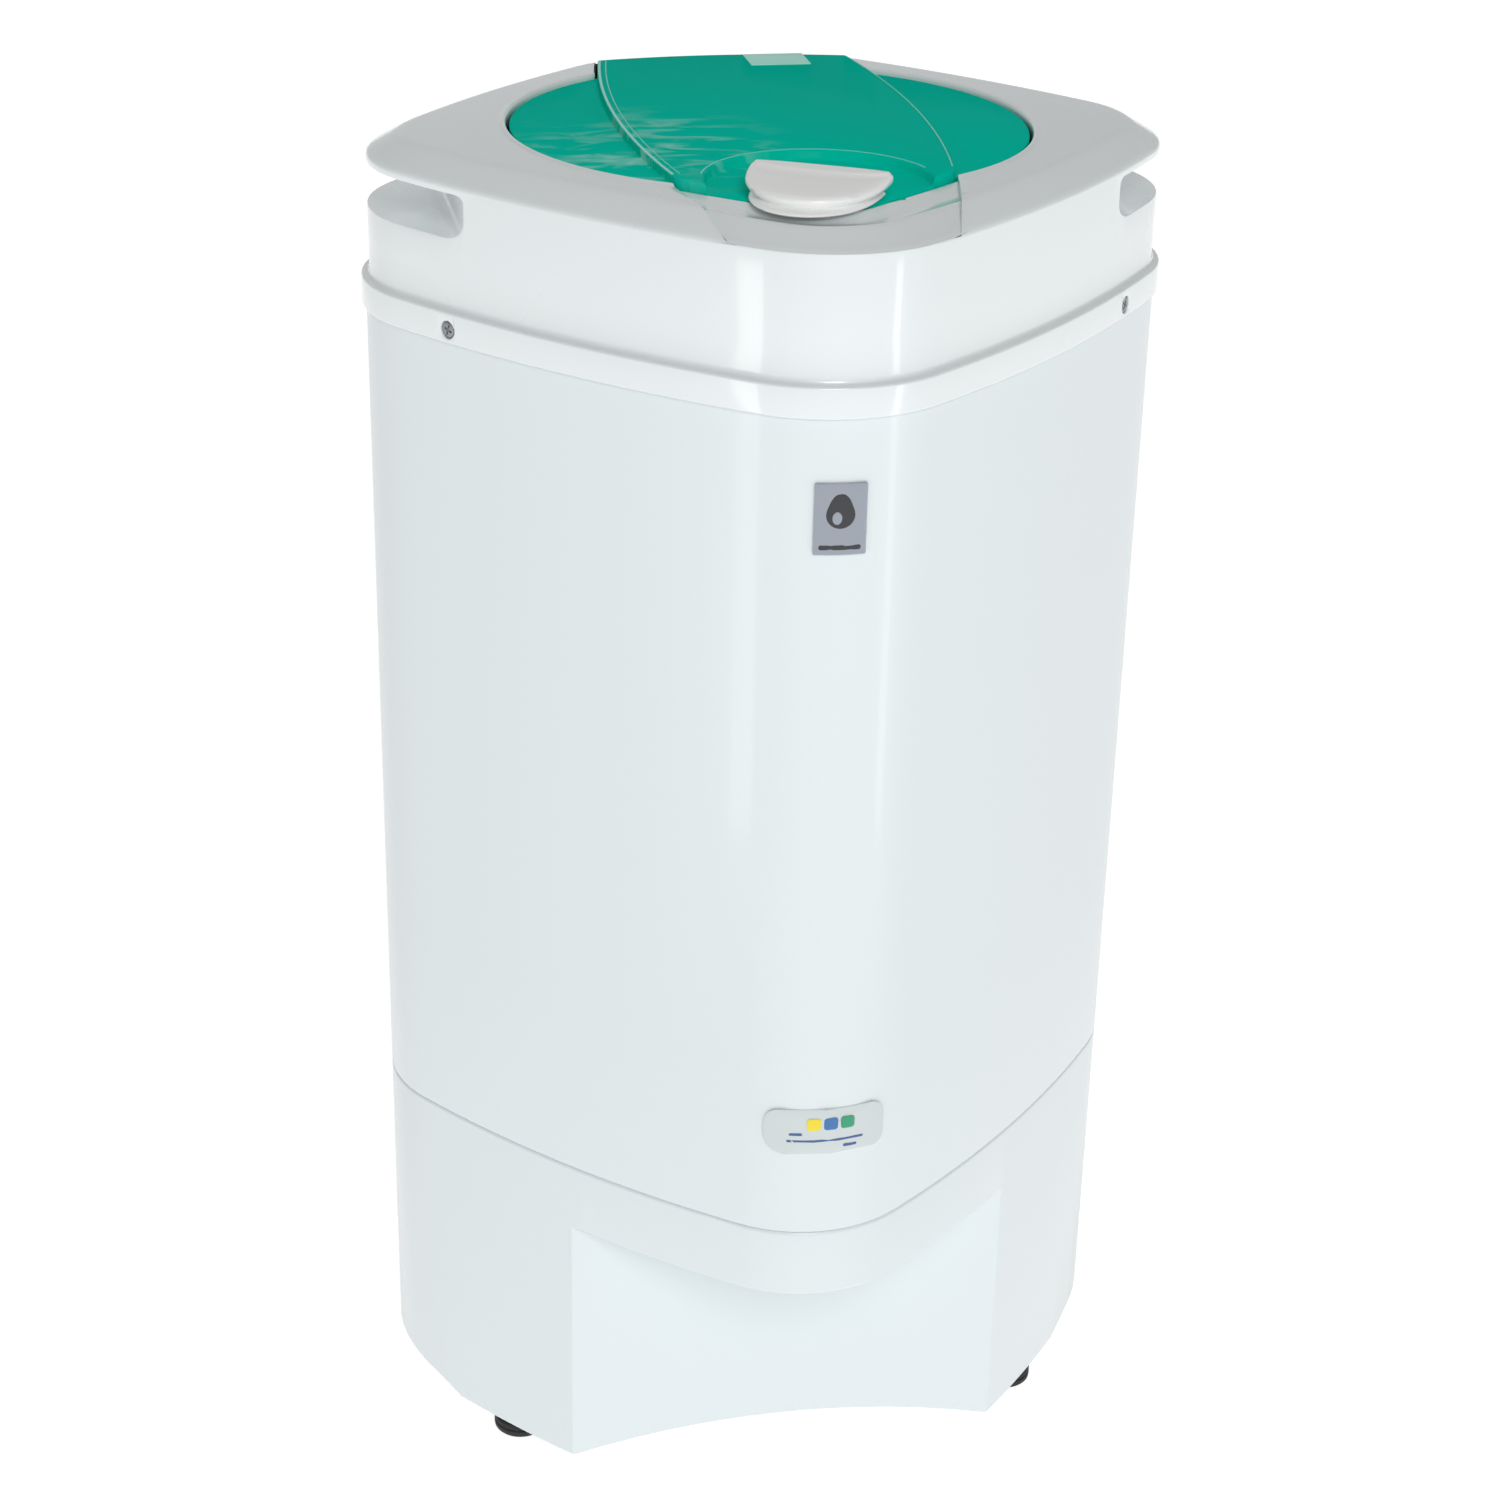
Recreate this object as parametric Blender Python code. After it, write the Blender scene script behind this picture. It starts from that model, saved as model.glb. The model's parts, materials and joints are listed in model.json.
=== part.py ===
"""Portable centrifugal spin dryer, standing corner-on: latch corner at -Y, hinge corner at +Y, handles at -X and +X.

Metres, +Z up, origin on the floor under the middle of the machine.
The body plan is a square with gently bulged sides and round corners, turned so that its corners lie on the axes.
"""
import math

import bmesh
import bpy
from mathutils import Matrix, Vector

# ---- driving dimensions -------------------------------------------------------------------------------------
GAP = 0.0003                 # clearance between pieces that touch
HALF_FLAT = 0.142            # centre to the middle of a side of the body
BULGE = 0.123                # how far a side bows out, as a share of its half width
CORNER_SHARE = 0.404         # corner radius as a share of the half width
SIDE_STEPS = 6
CORNER_STEPS = 6
WALL = 0.0025

Z_BASE = 0.009               # underside of the base housing, above the feet
Z_SEAM = 0.1665              # joint between base housing and casing
Z_SKIRT = 0.532              # lower edge of the cover's skirt
Z_LEDGE = 0.5448             # top of the skirt
Z_WALL_TOP = 0.5955          # top of the collar wall
Z_DECK = 0.6035              # deck of the two wings
Z_CHANNEL = 0.5952           # floor of the channel that the lid's bridge lies in
Z_RIM = 0.6008               # crest of the apron in front of the lid
SKIRT_PROUD = 0.0018
COLLAR_INSET = 0.0016
BEVEL_INSET = 0.0145         # where the wings' outer bevel ends
RIM_INSET = 0.034            # inner edge of the front apron
LID_INSET = 0.036            # front edge of the lid
BAND_HALF = 0.0645           # half width of the lid's raised band where it is widest
BAND_R = 0.599               # plan radius of the band's bowed sides
BAND_Y = 0.010               # where the band is widest
BAND_GAP = 0.0017            # band to channel wall
OPENING_R = 0.109            # radius of the loading opening

FACET_Y = 0.102              # flat faces that cut the base's front and rear corners
FACET_TOP = 0.1347
BASE_WALL = 0.003
POCKET_X = 0.134             # back wall of the handle recesses
POCKET_Z = (0.574, 0.592)

CHASSIS_Z = 0.036
CHASSIS_THICK = 0.002
FOOT_XY = (0.118, 0.062)
FOOT_R = 0.0125

TUB_R = 0.129
TUB_Z = (0.188, 0.5597)
DRUM_R = 0.112
DRUM_Z = (0.212, 0.545)
DRUM_MOUTH_R = 0.100
HOLE_R = 0.0035
SHAFT_R = 0.008
PLATE_Z = (0.072, 0.075)
MOTOR_R = 0.052
MOTOR_Z = (0.0753, 0.158)

REAR_Y = 0.1165              # flat rear wall of the cover, inside the hinge bay
BAY_Z = 0.574                # floor of the hinge bay
LID_REAR = 0.1160            # rear edge of the band at the middle
REAR_BOW = 0.006             # how far that edge falls back towards its ends
HINGE = Vector((0.0, 0.1225, 0.5975))
KNUCKLE_R = 0.005
PIN_R = 0.0025
LATCH = Vector((0.0, -0.104, 0.600))
LATCH_TURN = math.radians(-27)
WELL_CENTRE = (0.0, -0.1015)
WELL_R = 0.045
WELL_FLOOR = 0.602
LID_TOP = 0.606
LID_SKIN = 0.0028
BRAKE_PIVOT = Vector((0.048, 0.024, 0.060))
MOUNT_R = 0.078
SPOUT_Z = 0.110
ROUND = 32                   # sides of a large turned piece
SMALL_ROUND = 16


# ---- helpers ------------------------------------------------------------------------------------------------
def clear_scene():
    for obj in list(bpy.data.objects):
        bpy.data.objects.remove(obj, do_unlink=True)


MATERIALS = {
    # name: colour, roughness, metallic
    "white_gloss": ((0.86, 0.90, 0.90, 1), 0.18, 0.0),
    "white_knob": ((0.84, 0.87, 0.86, 1), 0.22, 0.0),
    "emerald_clear": ((0.0, 0.42, 0.30, 1), 0.08, 0.0),
    "black_rubber": ((0.02, 0.02, 0.02, 1), 0.85, 0.0),
    "grey_rubber": ((0.22, 0.23, 0.24, 1), 0.8, 0.0),
    "stainless": ((0.62, 0.62, 0.60, 1), 0.25, 1.0),
    "zinc_steel": ((0.55, 0.56, 0.58, 1), 0.35, 1.0),
    "spring_steel": ((0.35, 0.36, 0.38, 1), 0.3, 1.0),
    "aluminium": ((0.75, 0.76, 0.77, 1), 0.35, 1.0),
    "copper": ((0.65, 0.28, 0.12, 1), 0.4, 1.0),
    "lamination": ((0.18, 0.18, 0.19, 1), 0.5, 1.0),
    "painted_grey": ((0.30, 0.32, 0.34, 1), 0.45, 0.0),
    "tub_plastic": ((0.72, 0.76, 0.78, 1), 0.4, 0.0),
    "black_plastic": ((0.03, 0.03, 0.035, 1), 0.45, 0.0),
    "brake_lining": ((0.16, 0.12, 0.09, 1), 0.9, 0.0),
    "badge_silver": ((0.55, 0.57, 0.60, 1), 0.35, 0.6),
    "badge_pale": ((0.72, 0.76, 0.76, 1), 0.3, 0.0),
}


def material(name):
    found = bpy.data.materials.get(name)
    if found:
        return found
    colour, roughness, metallic = MATERIALS[name]
    made = bpy.data.materials.new(name)
    made.use_nodes = True
    shader = made.node_tree.nodes["Principled BSDF"]
    shader.inputs["Base Color"].default_value = colour
    shader.inputs["Roughness"].default_value = roughness
    shader.inputs["Metallic"].default_value = metallic
    made.diffuse_color = colour
    return made


def finish(name, bm, finish_name=None):
    """The bmesh as a named object: a cutter when it has no material, otherwise a sub-part."""
    bmesh.ops.remove_doubles(bm, verts=bm.verts, dist=1e-7)
    bmesh.ops.recalc_face_normals(bm, faces=bm.faces)
    mesh = bpy.data.meshes.new(name)
    bm.to_mesh(mesh)
    bm.free()
    obj = bpy.data.objects.new(name, mesh)
    bpy.context.scene.collection.objects.link(obj)
    if finish_name is None:
        obj.hide_render = True
        obj.display_type = "WIRE"
        return obj
    mesh.materials.append(material(finish_name))
    mesh.shade_smooth()
    mesh.set_sharp_from_angle(angle=math.radians(35))
    return obj


def combine(obj, other, operation="DIFFERENCE"):
    modifier = obj.modifiers.new(other.name, "BOOLEAN")
    modifier.operation = operation
    modifier.solver = "EXACT"
    modifier.object = other
    return obj


def outline(half, inset=0.0):
    """Points of the rounded square with bulged sides, corners on the axes, moved inwards by inset."""
    side_r = half * (1 + BULGE ** 2) / (2 * BULGE)
    corner_r = half * CORNER_SHARE
    back = side_r - half
    reach = (-2 * back + math.sqrt(4 * back ** 2 - 8 * (back ** 2 - (side_r - corner_r) ** 2))) / 4
    turn = math.atan2(reach, reach + back)
    points = []
    for quarter in range(4):
        heading = quarter * math.pi / 2 + math.pi / 4
        for step in range(SIDE_STEPS):
            angle = -turn + 2 * turn * step / SIDE_STEPS
            spot = Vector((-back + (side_r - inset) * math.cos(angle), (side_r - inset) * math.sin(angle)))
            points.append(Matrix.Rotation(heading, 2) @ spot)
        for step in range(CORNER_STEPS):
            angle = turn + (math.pi / 2 - 2 * turn) * step / CORNER_STEPS
            spot = Vector((reach, reach)) + (corner_r - inset) * Vector((math.cos(angle), math.sin(angle)))
            points.append(Matrix.Rotation(heading, 2) @ spot)
    return points


def circle(radius):
    """A circle with one point for each point of the plan outline, in the same directions."""
    return [spot.normalized() * radius for spot in outline(HALF_FLAT)]


def loft(name, rings, finish_name=None, tube=False):
    """Skin over rings of equal point counts, each (points, z). A tube joins the last ring to the first."""
    bm = bmesh.new()
    loops = [[bm.verts.new((p[0], p[1], z)) for p in points] for points, z in rings]
    pairs = list(zip(loops, loops[1:]))
    if tube:
        pairs.append((loops[-1], loops[0]))
    for lower, upper in pairs:
        for i, corner in enumerate(lower):
            j = (i + 1) % len(lower)
            bm.faces.new((corner, lower[j], upper[j], upper[i]))
    if not tube:
        bm.faces.new(reversed(loops[0]))
        bm.faces.new(loops[-1])
    return finish(name, bm, finish_name)


def shell(name, half, profile, finish_name=None):
    """A hollow body: the closed profile of (inset, z) carried round the plan outline."""
    return loft(name, [(outline(half, inset), z) for inset, z in profile], finish_name, tube=True)


def prism(name, half, inset, z_low, z_high, finish_name=None):
    return loft(name, [(outline(half, inset), z_low), (outline(half, inset), z_high)], finish_name)


def turned(name, profile, steps=ROUND, finish_name=None, closed=True):
    """The profile of (radius, z) spun about Z. An open profile starts and ends on the axis."""
    bm = bmesh.new()
    verts = [bm.verts.new((radius, 0, z)) for radius, z in profile]
    edges = [bm.edges.new(pair) for pair in zip(verts, verts[1:])]
    if closed:
        edges.append(bm.edges.new((verts[-1], verts[0])))
    bmesh.ops.spin(bm, geom=verts + edges, axis=(0, 0, 1), cent=(0, 0, 0), steps=steps,
                   angle=2 * math.pi, use_merge=True, use_duplicate=False)
    return finish(name, bm, finish_name)


def ring(name, r_in, r_out, z_low, z_high, steps=ROUND, finish_name=None):
    return turned(name, [(r_out, z_low), (r_out, z_high), (r_in, z_high), (r_in, z_low)], steps, finish_name)


def rod(name, profile, steps=SMALL_ROUND, finish_name=None):
    """A solid of revolution: profile of (radius, z) from the bottom up, closed on the axis at both ends."""
    whole = [(0, profile[0][1])] + list(profile) + [(0, profile[-1][1])]
    return turned(name, whole, steps, finish_name, closed=False)


def box(name, low, high, finish_name=None, bevel=0.0):
    bm = bmesh.new()
    bmesh.ops.create_cube(bm, size=1)
    size = Vector(high) - Vector(low)
    bmesh.ops.scale(bm, vec=size, verts=bm.verts)
    bmesh.ops.translate(bm, vec=(Vector(high) + Vector(low)) / 2, verts=bm.verts)
    if bevel:
        bmesh.ops.bevel(bm, geom=bm.edges[:], offset=bevel, segments=1, affect="EDGES")
    return finish(name, bm, finish_name)


def extruded(name, points, axis, low, high, finish_name=None):
    """A flat outline pushed along axis X, Y or Z from low to high."""
    place = {"X": lambda a, b, t: (t, a, b), "Y": lambda a, b, t: (a, t, b), "Z": lambda a, b, t: (a, b, t)}[axis]
    bm = bmesh.new()
    start = [bm.verts.new(place(a, b, low)) for a, b in points]
    end = [bm.verts.new(place(a, b, high)) for a, b in points]
    bm.faces.new(start)
    bm.faces.new(end)
    for i in range(len(points)):
        j = (i + 1) % len(points)
        bm.faces.new((start[i], start[j], end[j], end[i]))
    return finish(name, bm, finish_name)


def lie_along(obj, axis, at):
    """Turns a piece made about Z so that it lies along axis, and puts its origin at the given place."""
    turn = Vector((0, 0, 1)).rotation_difference(Vector(axis))
    obj.rotation_euler = turn.to_euler()
    obj.location = at
    return obj


def hang(pivot, *pieces):
    """Parents pieces to a pivot and leaves them where they are."""
    for piece in pieces:
        piece.parent = pivot
        piece.matrix_parent_inverse = Matrix.Translation(-pivot.location)


def pivot_at(name, place):
    empty = bpy.data.objects.new(name, None)
    empty.empty_display_size = 0.02
    empty.location = place
    bpy.context.scene.collection.objects.link(empty)
    return empty


def copy_of(obj, name, at):
    made = bpy.data.objects.new(name, obj.data)
    made.rotation_euler = obj.rotation_euler
    made.location = at
    bpy.context.scene.collection.objects.link(made)
    return made


def arch_points(half_span, rise, z_foot, steps=12):
    """Outline under a shallow arch, closed well below it."""
    radius = (half_span ** 2 + rise ** 2) / (2 * rise)
    spread = math.asin(half_span / radius)
    points = []
    for step in range(steps + 1):
        angle = spread * (1 - 2 * step / steps)
        points.append((radius * math.sin(angle), z_foot + rise - radius + radius * math.cos(angle)))
    return points + [(-half_span, z_foot - 0.05), (half_span, z_foot - 0.05)]


def tube_along(name, path, r_out, r_in, steps, finish_name):
    """A hose of ring section swept along a path that stays in one plane x = constant."""
    bm = bmesh.new()
    loops = []
    for i, spot in enumerate(path):
        ahead = (path[min(i + 1, len(path) - 1)] - path[max(i - 1, 0)]).normalized()
        side = Vector((1, 0, 0))
        up = ahead.cross(side)
        turns = [2 * math.pi * k / steps for k in range(steps)]
        loops.append([[bm.verts.new(spot + radius * (math.cos(t) * side + math.sin(t) * up)) for t in turns]
                      for radius in (r_out, r_in)])
    for near, far in zip(loops, loops[1:]):
        for skin in (0, 1):
            for k in range(steps):
                n = (k + 1) % steps
                bm.faces.new((near[skin][k], near[skin][n], far[skin][n], far[skin][k]))
    for end in (loops[0], loops[-1]):
        for k in range(steps):
            n = (k + 1) % steps
            bm.faces.new((end[0][k], end[0][n], end[1][n], end[1][k]))
    return finish(name, bm, finish_name)


def flank_frame(x_sign, y_sign, across):
    """Place on the body's side at a distance across from its middle, and the outward direction there."""
    side_r = HALF_FLAT * (1 + BULGE ** 2) / (2 * BULGE)
    angle = math.asin(across / side_r)
    middle = Vector((x_sign, y_sign)).normalized()
    along = Vector((x_sign, -y_sign)).normalized()
    outward = math.cos(angle) * middle + math.sin(angle) * along
    place = middle * (HALF_FLAT - side_r) + outward * side_r
    return Vector((place.x, place.y, 0)), Vector((outward.x, outward.y, 0))


# ---- base ---------------------------------------------------------------------------------------------------
def base_housing():
    housing = loft("base_housing", [(outline(HALF_FLAT), Z_BASE), (outline(HALF_FLAT), Z_SEAM - 0.001),
                                    (outline(HALF_FLAT, 0.0008), Z_SEAM)], "white_gloss")
    hollow = prism("cut_base_hollow", HALF_FLAT, BASE_WALL, Z_BASE - 0.02, Z_SEAM + 0.02)
    for sign, side in ((-1, "front"), (1, "rear")):
        near, far = sorted((sign * FACET_Y, sign * 0.25))
        combine(housing, box(f"cut_facet_{side}", (-0.2, near, -0.05), (0.2, far, FACET_TOP)))
        near, far = sorted((sign * (FACET_Y - BASE_WALL), sign * 0.26))
        keep = box(f"cut_facet_backing_{side}", (-0.21, near, -0.06), (0.21, far, FACET_TOP + BASE_WALL))
        combine(hollow, keep)
    combine(housing, hollow)
    combine(housing, extruded("cut_facet_arches", arch_points(0.097, 0.012, Z_BASE), "Y", -0.2, 0.2))
    combine(housing, extruded("cut_side_arches", arch_points(0.050, 0.013, Z_BASE), "X", -0.2, 0.2))
    spout_hole = rod("cut_spout_hole", [(0.010, -0.02), (0.010, 0.02)])
    combine(housing, lie_along(spout_hole, (0, 1, 0), (0, FACET_Y, SPOUT_Z)))
    gland_hole = rod("cut_gland_hole", [(0.0073, -0.02), (0.0073, 0.02)])
    combine(housing, lie_along(gland_hole, (0, 1, 0), (0.055, FACET_Y, 0.058)))
    return housing


def chassis_plate():
    plate = prism("chassis_plate", HALF_FLAT, BASE_WALL + 0.0006, CHASSIS_Z, CHASSIS_Z + CHASSIS_THICK,
                  "zinc_steel")
    for sign, side in ((-1, "front"), (1, "rear")):
        near, far = sorted((sign * (FACET_Y - BASE_WALL - 0.0006), sign * 0.25))
        combine(plate, box(f"cut_plate_{side}", (-0.2, near, 0.0), (0.2, far, 0.06)))
    return plate


def feet():
    top = CHASSIS_Z - GAP
    profile = [(FOOT_R - 0.0015, 0), (FOOT_R, 0.002), (FOOT_R, 0.0072), (0.0085, 0.0086), (0.0085, top)]
    first = rod("foot_front_left", profile, SMALL_ROUND, "black_rubber")
    first.location = (-FOOT_XY[0], -FOOT_XY[1], 0)
    copy_of(first, "foot_front_right", (FOOT_XY[0], -FOOT_XY[1], 0))
    copy_of(first, "foot_rear_left", (-FOOT_XY[0], FOOT_XY[1], 0))
    copy_of(first, "foot_rear_right", (FOOT_XY[0], FOOT_XY[1], 0))


def cable_gland():
    gland = turned("cable_gland", [(0.007, -0.012), (0.007, 0.0003), (0.0105, 0.0003), (0.0105, 0.006),
                                   (0.008, 0.010), (0.004, 0.010), (0.004, -0.012)], SMALL_ROUND, "black_plastic")
    return lie_along(gland, (0, 1, 0), (0.055, FACET_Y, 0.058))


# ---- body ---------------------------------------------------------------------------------------------------
SCREW_ACROSS = 0.0585
SCREW_Z = 0.5375
CORNERS = ((-1, -1, "front_left"), (1, -1, "front_right"), (-1, 1, "rear_left"), (1, 1, "rear_right"))


def screw_holes(target, name, radius):
    """Four cross holes for the cover screws."""
    for x_sign, y_sign, corner in CORNERS:
        place, outward = flank_frame(x_sign, y_sign, SCREW_ACROSS)
        hole = rod(f"cut_{name}_{corner}", [(radius, -0.012), (radius, 0.012)])
        combine(target, lie_along(hole, outward, place + Vector((0, 0, SCREW_Z))))


def body_casing():
    low, high = Z_SEAM + GAP, 0.5412
    profile = [(0.0008, low), (0, low + 0.001), (0, high), (WALL, high), (WALL, low)]
    casing = shell("body_casing", HALF_FLAT, profile, "white_gloss")
    screw_holes(casing, "casing", 0.0022)
    return casing


def cover_screws():
    first = None
    for x_sign, y_sign, corner in CORNERS:
        place, outward = flank_frame(x_sign, y_sign, SCREW_ACROSS)
        place = place + Vector((0, 0, SCREW_Z)) + outward * 0.0004
        if first is None:
            first = rod(f"cover_screw_{corner}", [(0.0019, -0.008), (0.0019, 0), (0.0033, 0), (0.0033, 0.0009)],
                        12, "zinc_steel")
            screw = first
        else:
            screw = copy_of(first, f"cover_screw_{corner}", place)
        lie_along(screw, outward, place)


def badge(name, shape, z_low, z_high, finish_name):
    """A thin plate that follows the front corner, trimmed to the outline in the XZ plane."""
    profile = [(-GAP, z_low), (-0.0012, z_low), (-0.0012, z_high), (-GAP, z_high)]
    plate = shell(name, HALF_FLAT, profile, finish_name)
    trim = extruded(f"cut_{name}", shape, "Y", -0.25, -0.12)
    return combine(plate, trim, "INTERSECT")


def rounded_rectangle(cx, cz, half_x, half_z, radius, steps=4):
    points = []
    for quarter, (sx, sz) in enumerate(((1, 1), (-1, 1), (-1, -1), (1, -1))):
        for step in range(steps + 1):
            angle = (quarter + step / steps) * math.pi / 2
            points.append((cx + sx * (half_x - radius) + radius * math.cos(angle),
                           cz + sz * (half_z - radius) + radius * math.sin(angle)))
    return points


def badges():
    upper = rounded_rectangle(-0.003, 0.492, 0.0102, 0.0145, 0.0008, 2)
    badge("badge_upper", upper, 0.470, 0.515, "badge_silver")
    lower = rounded_rectangle(0.0, 0.2175, 0.0265, 0.0108, 0.0070)
    badge("badge_lower", lower, 0.200, 0.235, "badge_pale")


def top_cover():
    deep = 0.5927
    profile = [(-SKIRT_PROUD, Z_SKIRT), (-SKIRT_PROUD, Z_LEDGE), (COLLAR_INSET, Z_LEDGE + 0.0022),
               (COLLAR_INSET, Z_WALL_TOP), (BEVEL_INSET, Z_DECK)]
    outer = [(outline(HALF_FLAT, inset), z) for inset, z in profile]
    mouth = [(circle(OPENING_R + lip), z) for lip, z in
             ((0.0036, Z_DECK), (0.0026, Z_DECK + 0.0010), (0.0010, Z_DECK + 0.0010), (0, Z_DECK), (0, deep))]
    inner = [(outline(HALF_FLAT, inset), z) for inset, z in
             ((COLLAR_INSET + WALL, deep), (COLLAR_INSET + WALL, 0.5415), (-GAP, 0.5415), (-GAP, Z_SKIRT))]
    cover = loft("top_cover", outer + mouth + inner, "white_gloss", tube=True)
    inside = prism("part_pocket_blocks", HALF_FLAT, COLLAR_INSET + 0.001, POCKET_Z[0] - WALL, deep + 0.002)
    combine(inside, box("cut_pocket_blocks", (WALL - POCKET_X, -0.2, 0.55), (POCKET_X - WALL, REAR_Y - WALL, 0.62)))
    combine(cover, inside, "UNION")
    for sign, side in ((-1, "left"), (1, "right")):
        near, far = sorted((sign * POCKET_X, sign * 0.2))
        combine(cover, box(f"cut_pocket_{side}", (near, -0.1, POCKET_Z[0]), (far, 0.1, POCKET_Z[1])))
    combine(cover, box("cut_hinge_bay", (-0.1, REAR_Y, BAY_Z), (0.1, 0.2, 0.62)))
    channel = extruded("cut_channel", band(BAND_GAP, -0.2, 0.2), "Z", Z_CHANNEL, 0.62)
    rim = shell("cut_channel_rim", HALF_FLAT, [(0.0, 0.585), (COLLAR_INSET, Z_WALL_TOP), (0.012, 0.5988),
                                               (0.019, Z_RIM), (RIM_INSET, 0.5995), (RIM_INSET, 0.585)])
    combine(rim, box("cut_rim_rear", (-0.2, -0.06, 0.55), (0.2, 0.2, 0.65)))
    combine(channel, rim)
    combine(cover, channel)
    combine(cover, box("cut_latch_notch", (-0.030, -0.1190, 0.585), (0.030, -0.090, 0.62)))
    screw_holes(cover, "skirt", 0.0037)
    return cover


# ---- lid ----------------------------------------------------------------------------------------------------
def band(grow, y_low, y_high, steps=16, bow=0.0):
    """Outline of the lid's band, widened by grow: two bowed sides from y_low up, and a rear edge that bows
    out to y_high at the middle."""
    radius = BAND_R + grow
    middle = BAND_HALF - BAND_R
    right = []
    for step in range(steps + 1):
        y = y_low + (y_high - bow - y_low) * step / steps
        right.append((middle + math.sqrt(radius ** 2 - (y - BAND_Y) ** 2), y))
    end = right[-1][0]
    rear = [(end * k / 6, y_high - bow * (k / 6) ** 2) for k in range(5, -6, -1)] if bow else []
    return right + rear + [(-x, y) for x, y in reversed(right)]


def clip_front(obj, name, inset):
    """Trims the front along the body outline moved inwards by inset, and leaves the rear half alone."""
    keep = prism(f"cut_{name}_keep", HALF_FLAT, inset, 0.55, 0.65)
    combine(keep, box(f"part_{name}_rear", (-0.15, 0.0, 0.551), (0.15, 0.2, 0.649)), "UNION")
    return combine(obj, keep, "INTERSECT")


def lid_window():
    low, skin = 0.5965, 0.0022
    lid = extruded("lid_window", band(0, -0.15, LID_REAR, bow=REAR_BOW), "Z", low, LID_TOP, "emerald_clear")
    clip_front(lid, "lid", LID_INSET)
    under = extruded("cut_lid_under", band(-skin, -0.15, LID_REAR - skin, bow=REAR_BOW), "Z", 0.58,
                     LID_TOP - LID_SKIN)
    clip_front(under, "lid_under", LID_INSET + skin)
    combine(lid, under)
    lobes = loft("part_lid_lobes", [(circle(OPENING_R - 0.0012), z) for z in (0.5996, 0.6026)])
    combine(lobes, extruded("cut_lobes_middle", band(-0.0012, -0.16, 0.16), "Z", 0.55, 0.65))
    combine(lid, lobes, "UNION")
    well = rod("part_well", [(WELL_R + 0.002, 0.5995), (WELL_R + 0.002, LID_TOP - 0.001)], ROUND)
    well.location = (*WELL_CENTRE, 0)
    clip_front(well, "well", LID_INSET + 0.001)
    combine(lid, well, "UNION")
    scoop = rod("cut_well", [(WELL_R, WELL_FLOOR), (WELL_R, 0.62)], ROUND)
    scoop.location = (*WELL_CENTRE, 0)
    combine(lid, scoop)
    spindle_bore = rod("cut_spindle_bore", [(0.0043, 0.58), (0.0043, 0.62)], SMALL_ROUND)
    spindle_bore.location = (LATCH.x, LATCH.y, 0)
    combine(lid, spindle_bore)
    tongue = box("part_lid_tongue", (-0.0275, LID_REAR - 0.004, low), (0.0275, HINGE.y, HINGE.z + 0.0045))
    combine(lid, tongue, "UNION")
    knuckle = rod("part_knuckle", [(KNUCKLE_R, -0.0285), (KNUCKLE_R, 0.0285)], SMALL_ROUND)
    combine(lid, lie_along(knuckle, (1, 0, 0), HINGE), "UNION")
    bore = rod("cut_knuckle_bore", [(PIN_R + GAP, -0.05), (PIN_R + GAP, 0.05)], SMALL_ROUND)
    combine(lid, lie_along(bore, (1, 0, 0), HINGE))
    return lid


def hinge_pieces():
    pin = rod("hinge_pin", [(PIN_R, -0.040), (PIN_R, 0.040)], SMALL_ROUND, "stainless")
    lie_along(pin, (1, 0, 0), HINGE)
    for sign, side in ((-1, "left"), (1, "right")):
        low, high = sorted((sign * 0.0295, sign * 0.0370))
        foot = [(REAR_Y + GAP, HINGE.z + 0.0015), (REAR_Y + GAP, HINGE.z - 0.013)]
        arc = [(HINGE.y + KNUCKLE_R * math.cos(a), HINGE.z + KNUCKLE_R * math.sin(a))
               for a in (math.pi * (k - 2) / 8 for k in range(8))]
        bracket = extruded(f"hinge_bracket_{side}", foot + arc, "X", low, high, "white_gloss")
        bore = rod(f"cut_bracket_{side}", [(PIN_R + GAP, -0.05), (PIN_R + GAP, 0.05)], SMALL_ROUND)
        combine(bracket, lie_along(bore, (1, 0, 0), HINGE))


def knob_outline(half_length, back, front):
    """Straight grip side, rounded ends, crescent front. Local +X along the grip, -Y to the front."""
    points = [(half_length * 0.92, back), (-half_length * 0.92, back)]
    steps = 14
    for step in range(steps + 1):
        angle = math.pi * (1 - step / steps)
        points.append((half_length * math.cos(angle), -front * math.sin(angle) ** 0.75))
    return points


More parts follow.
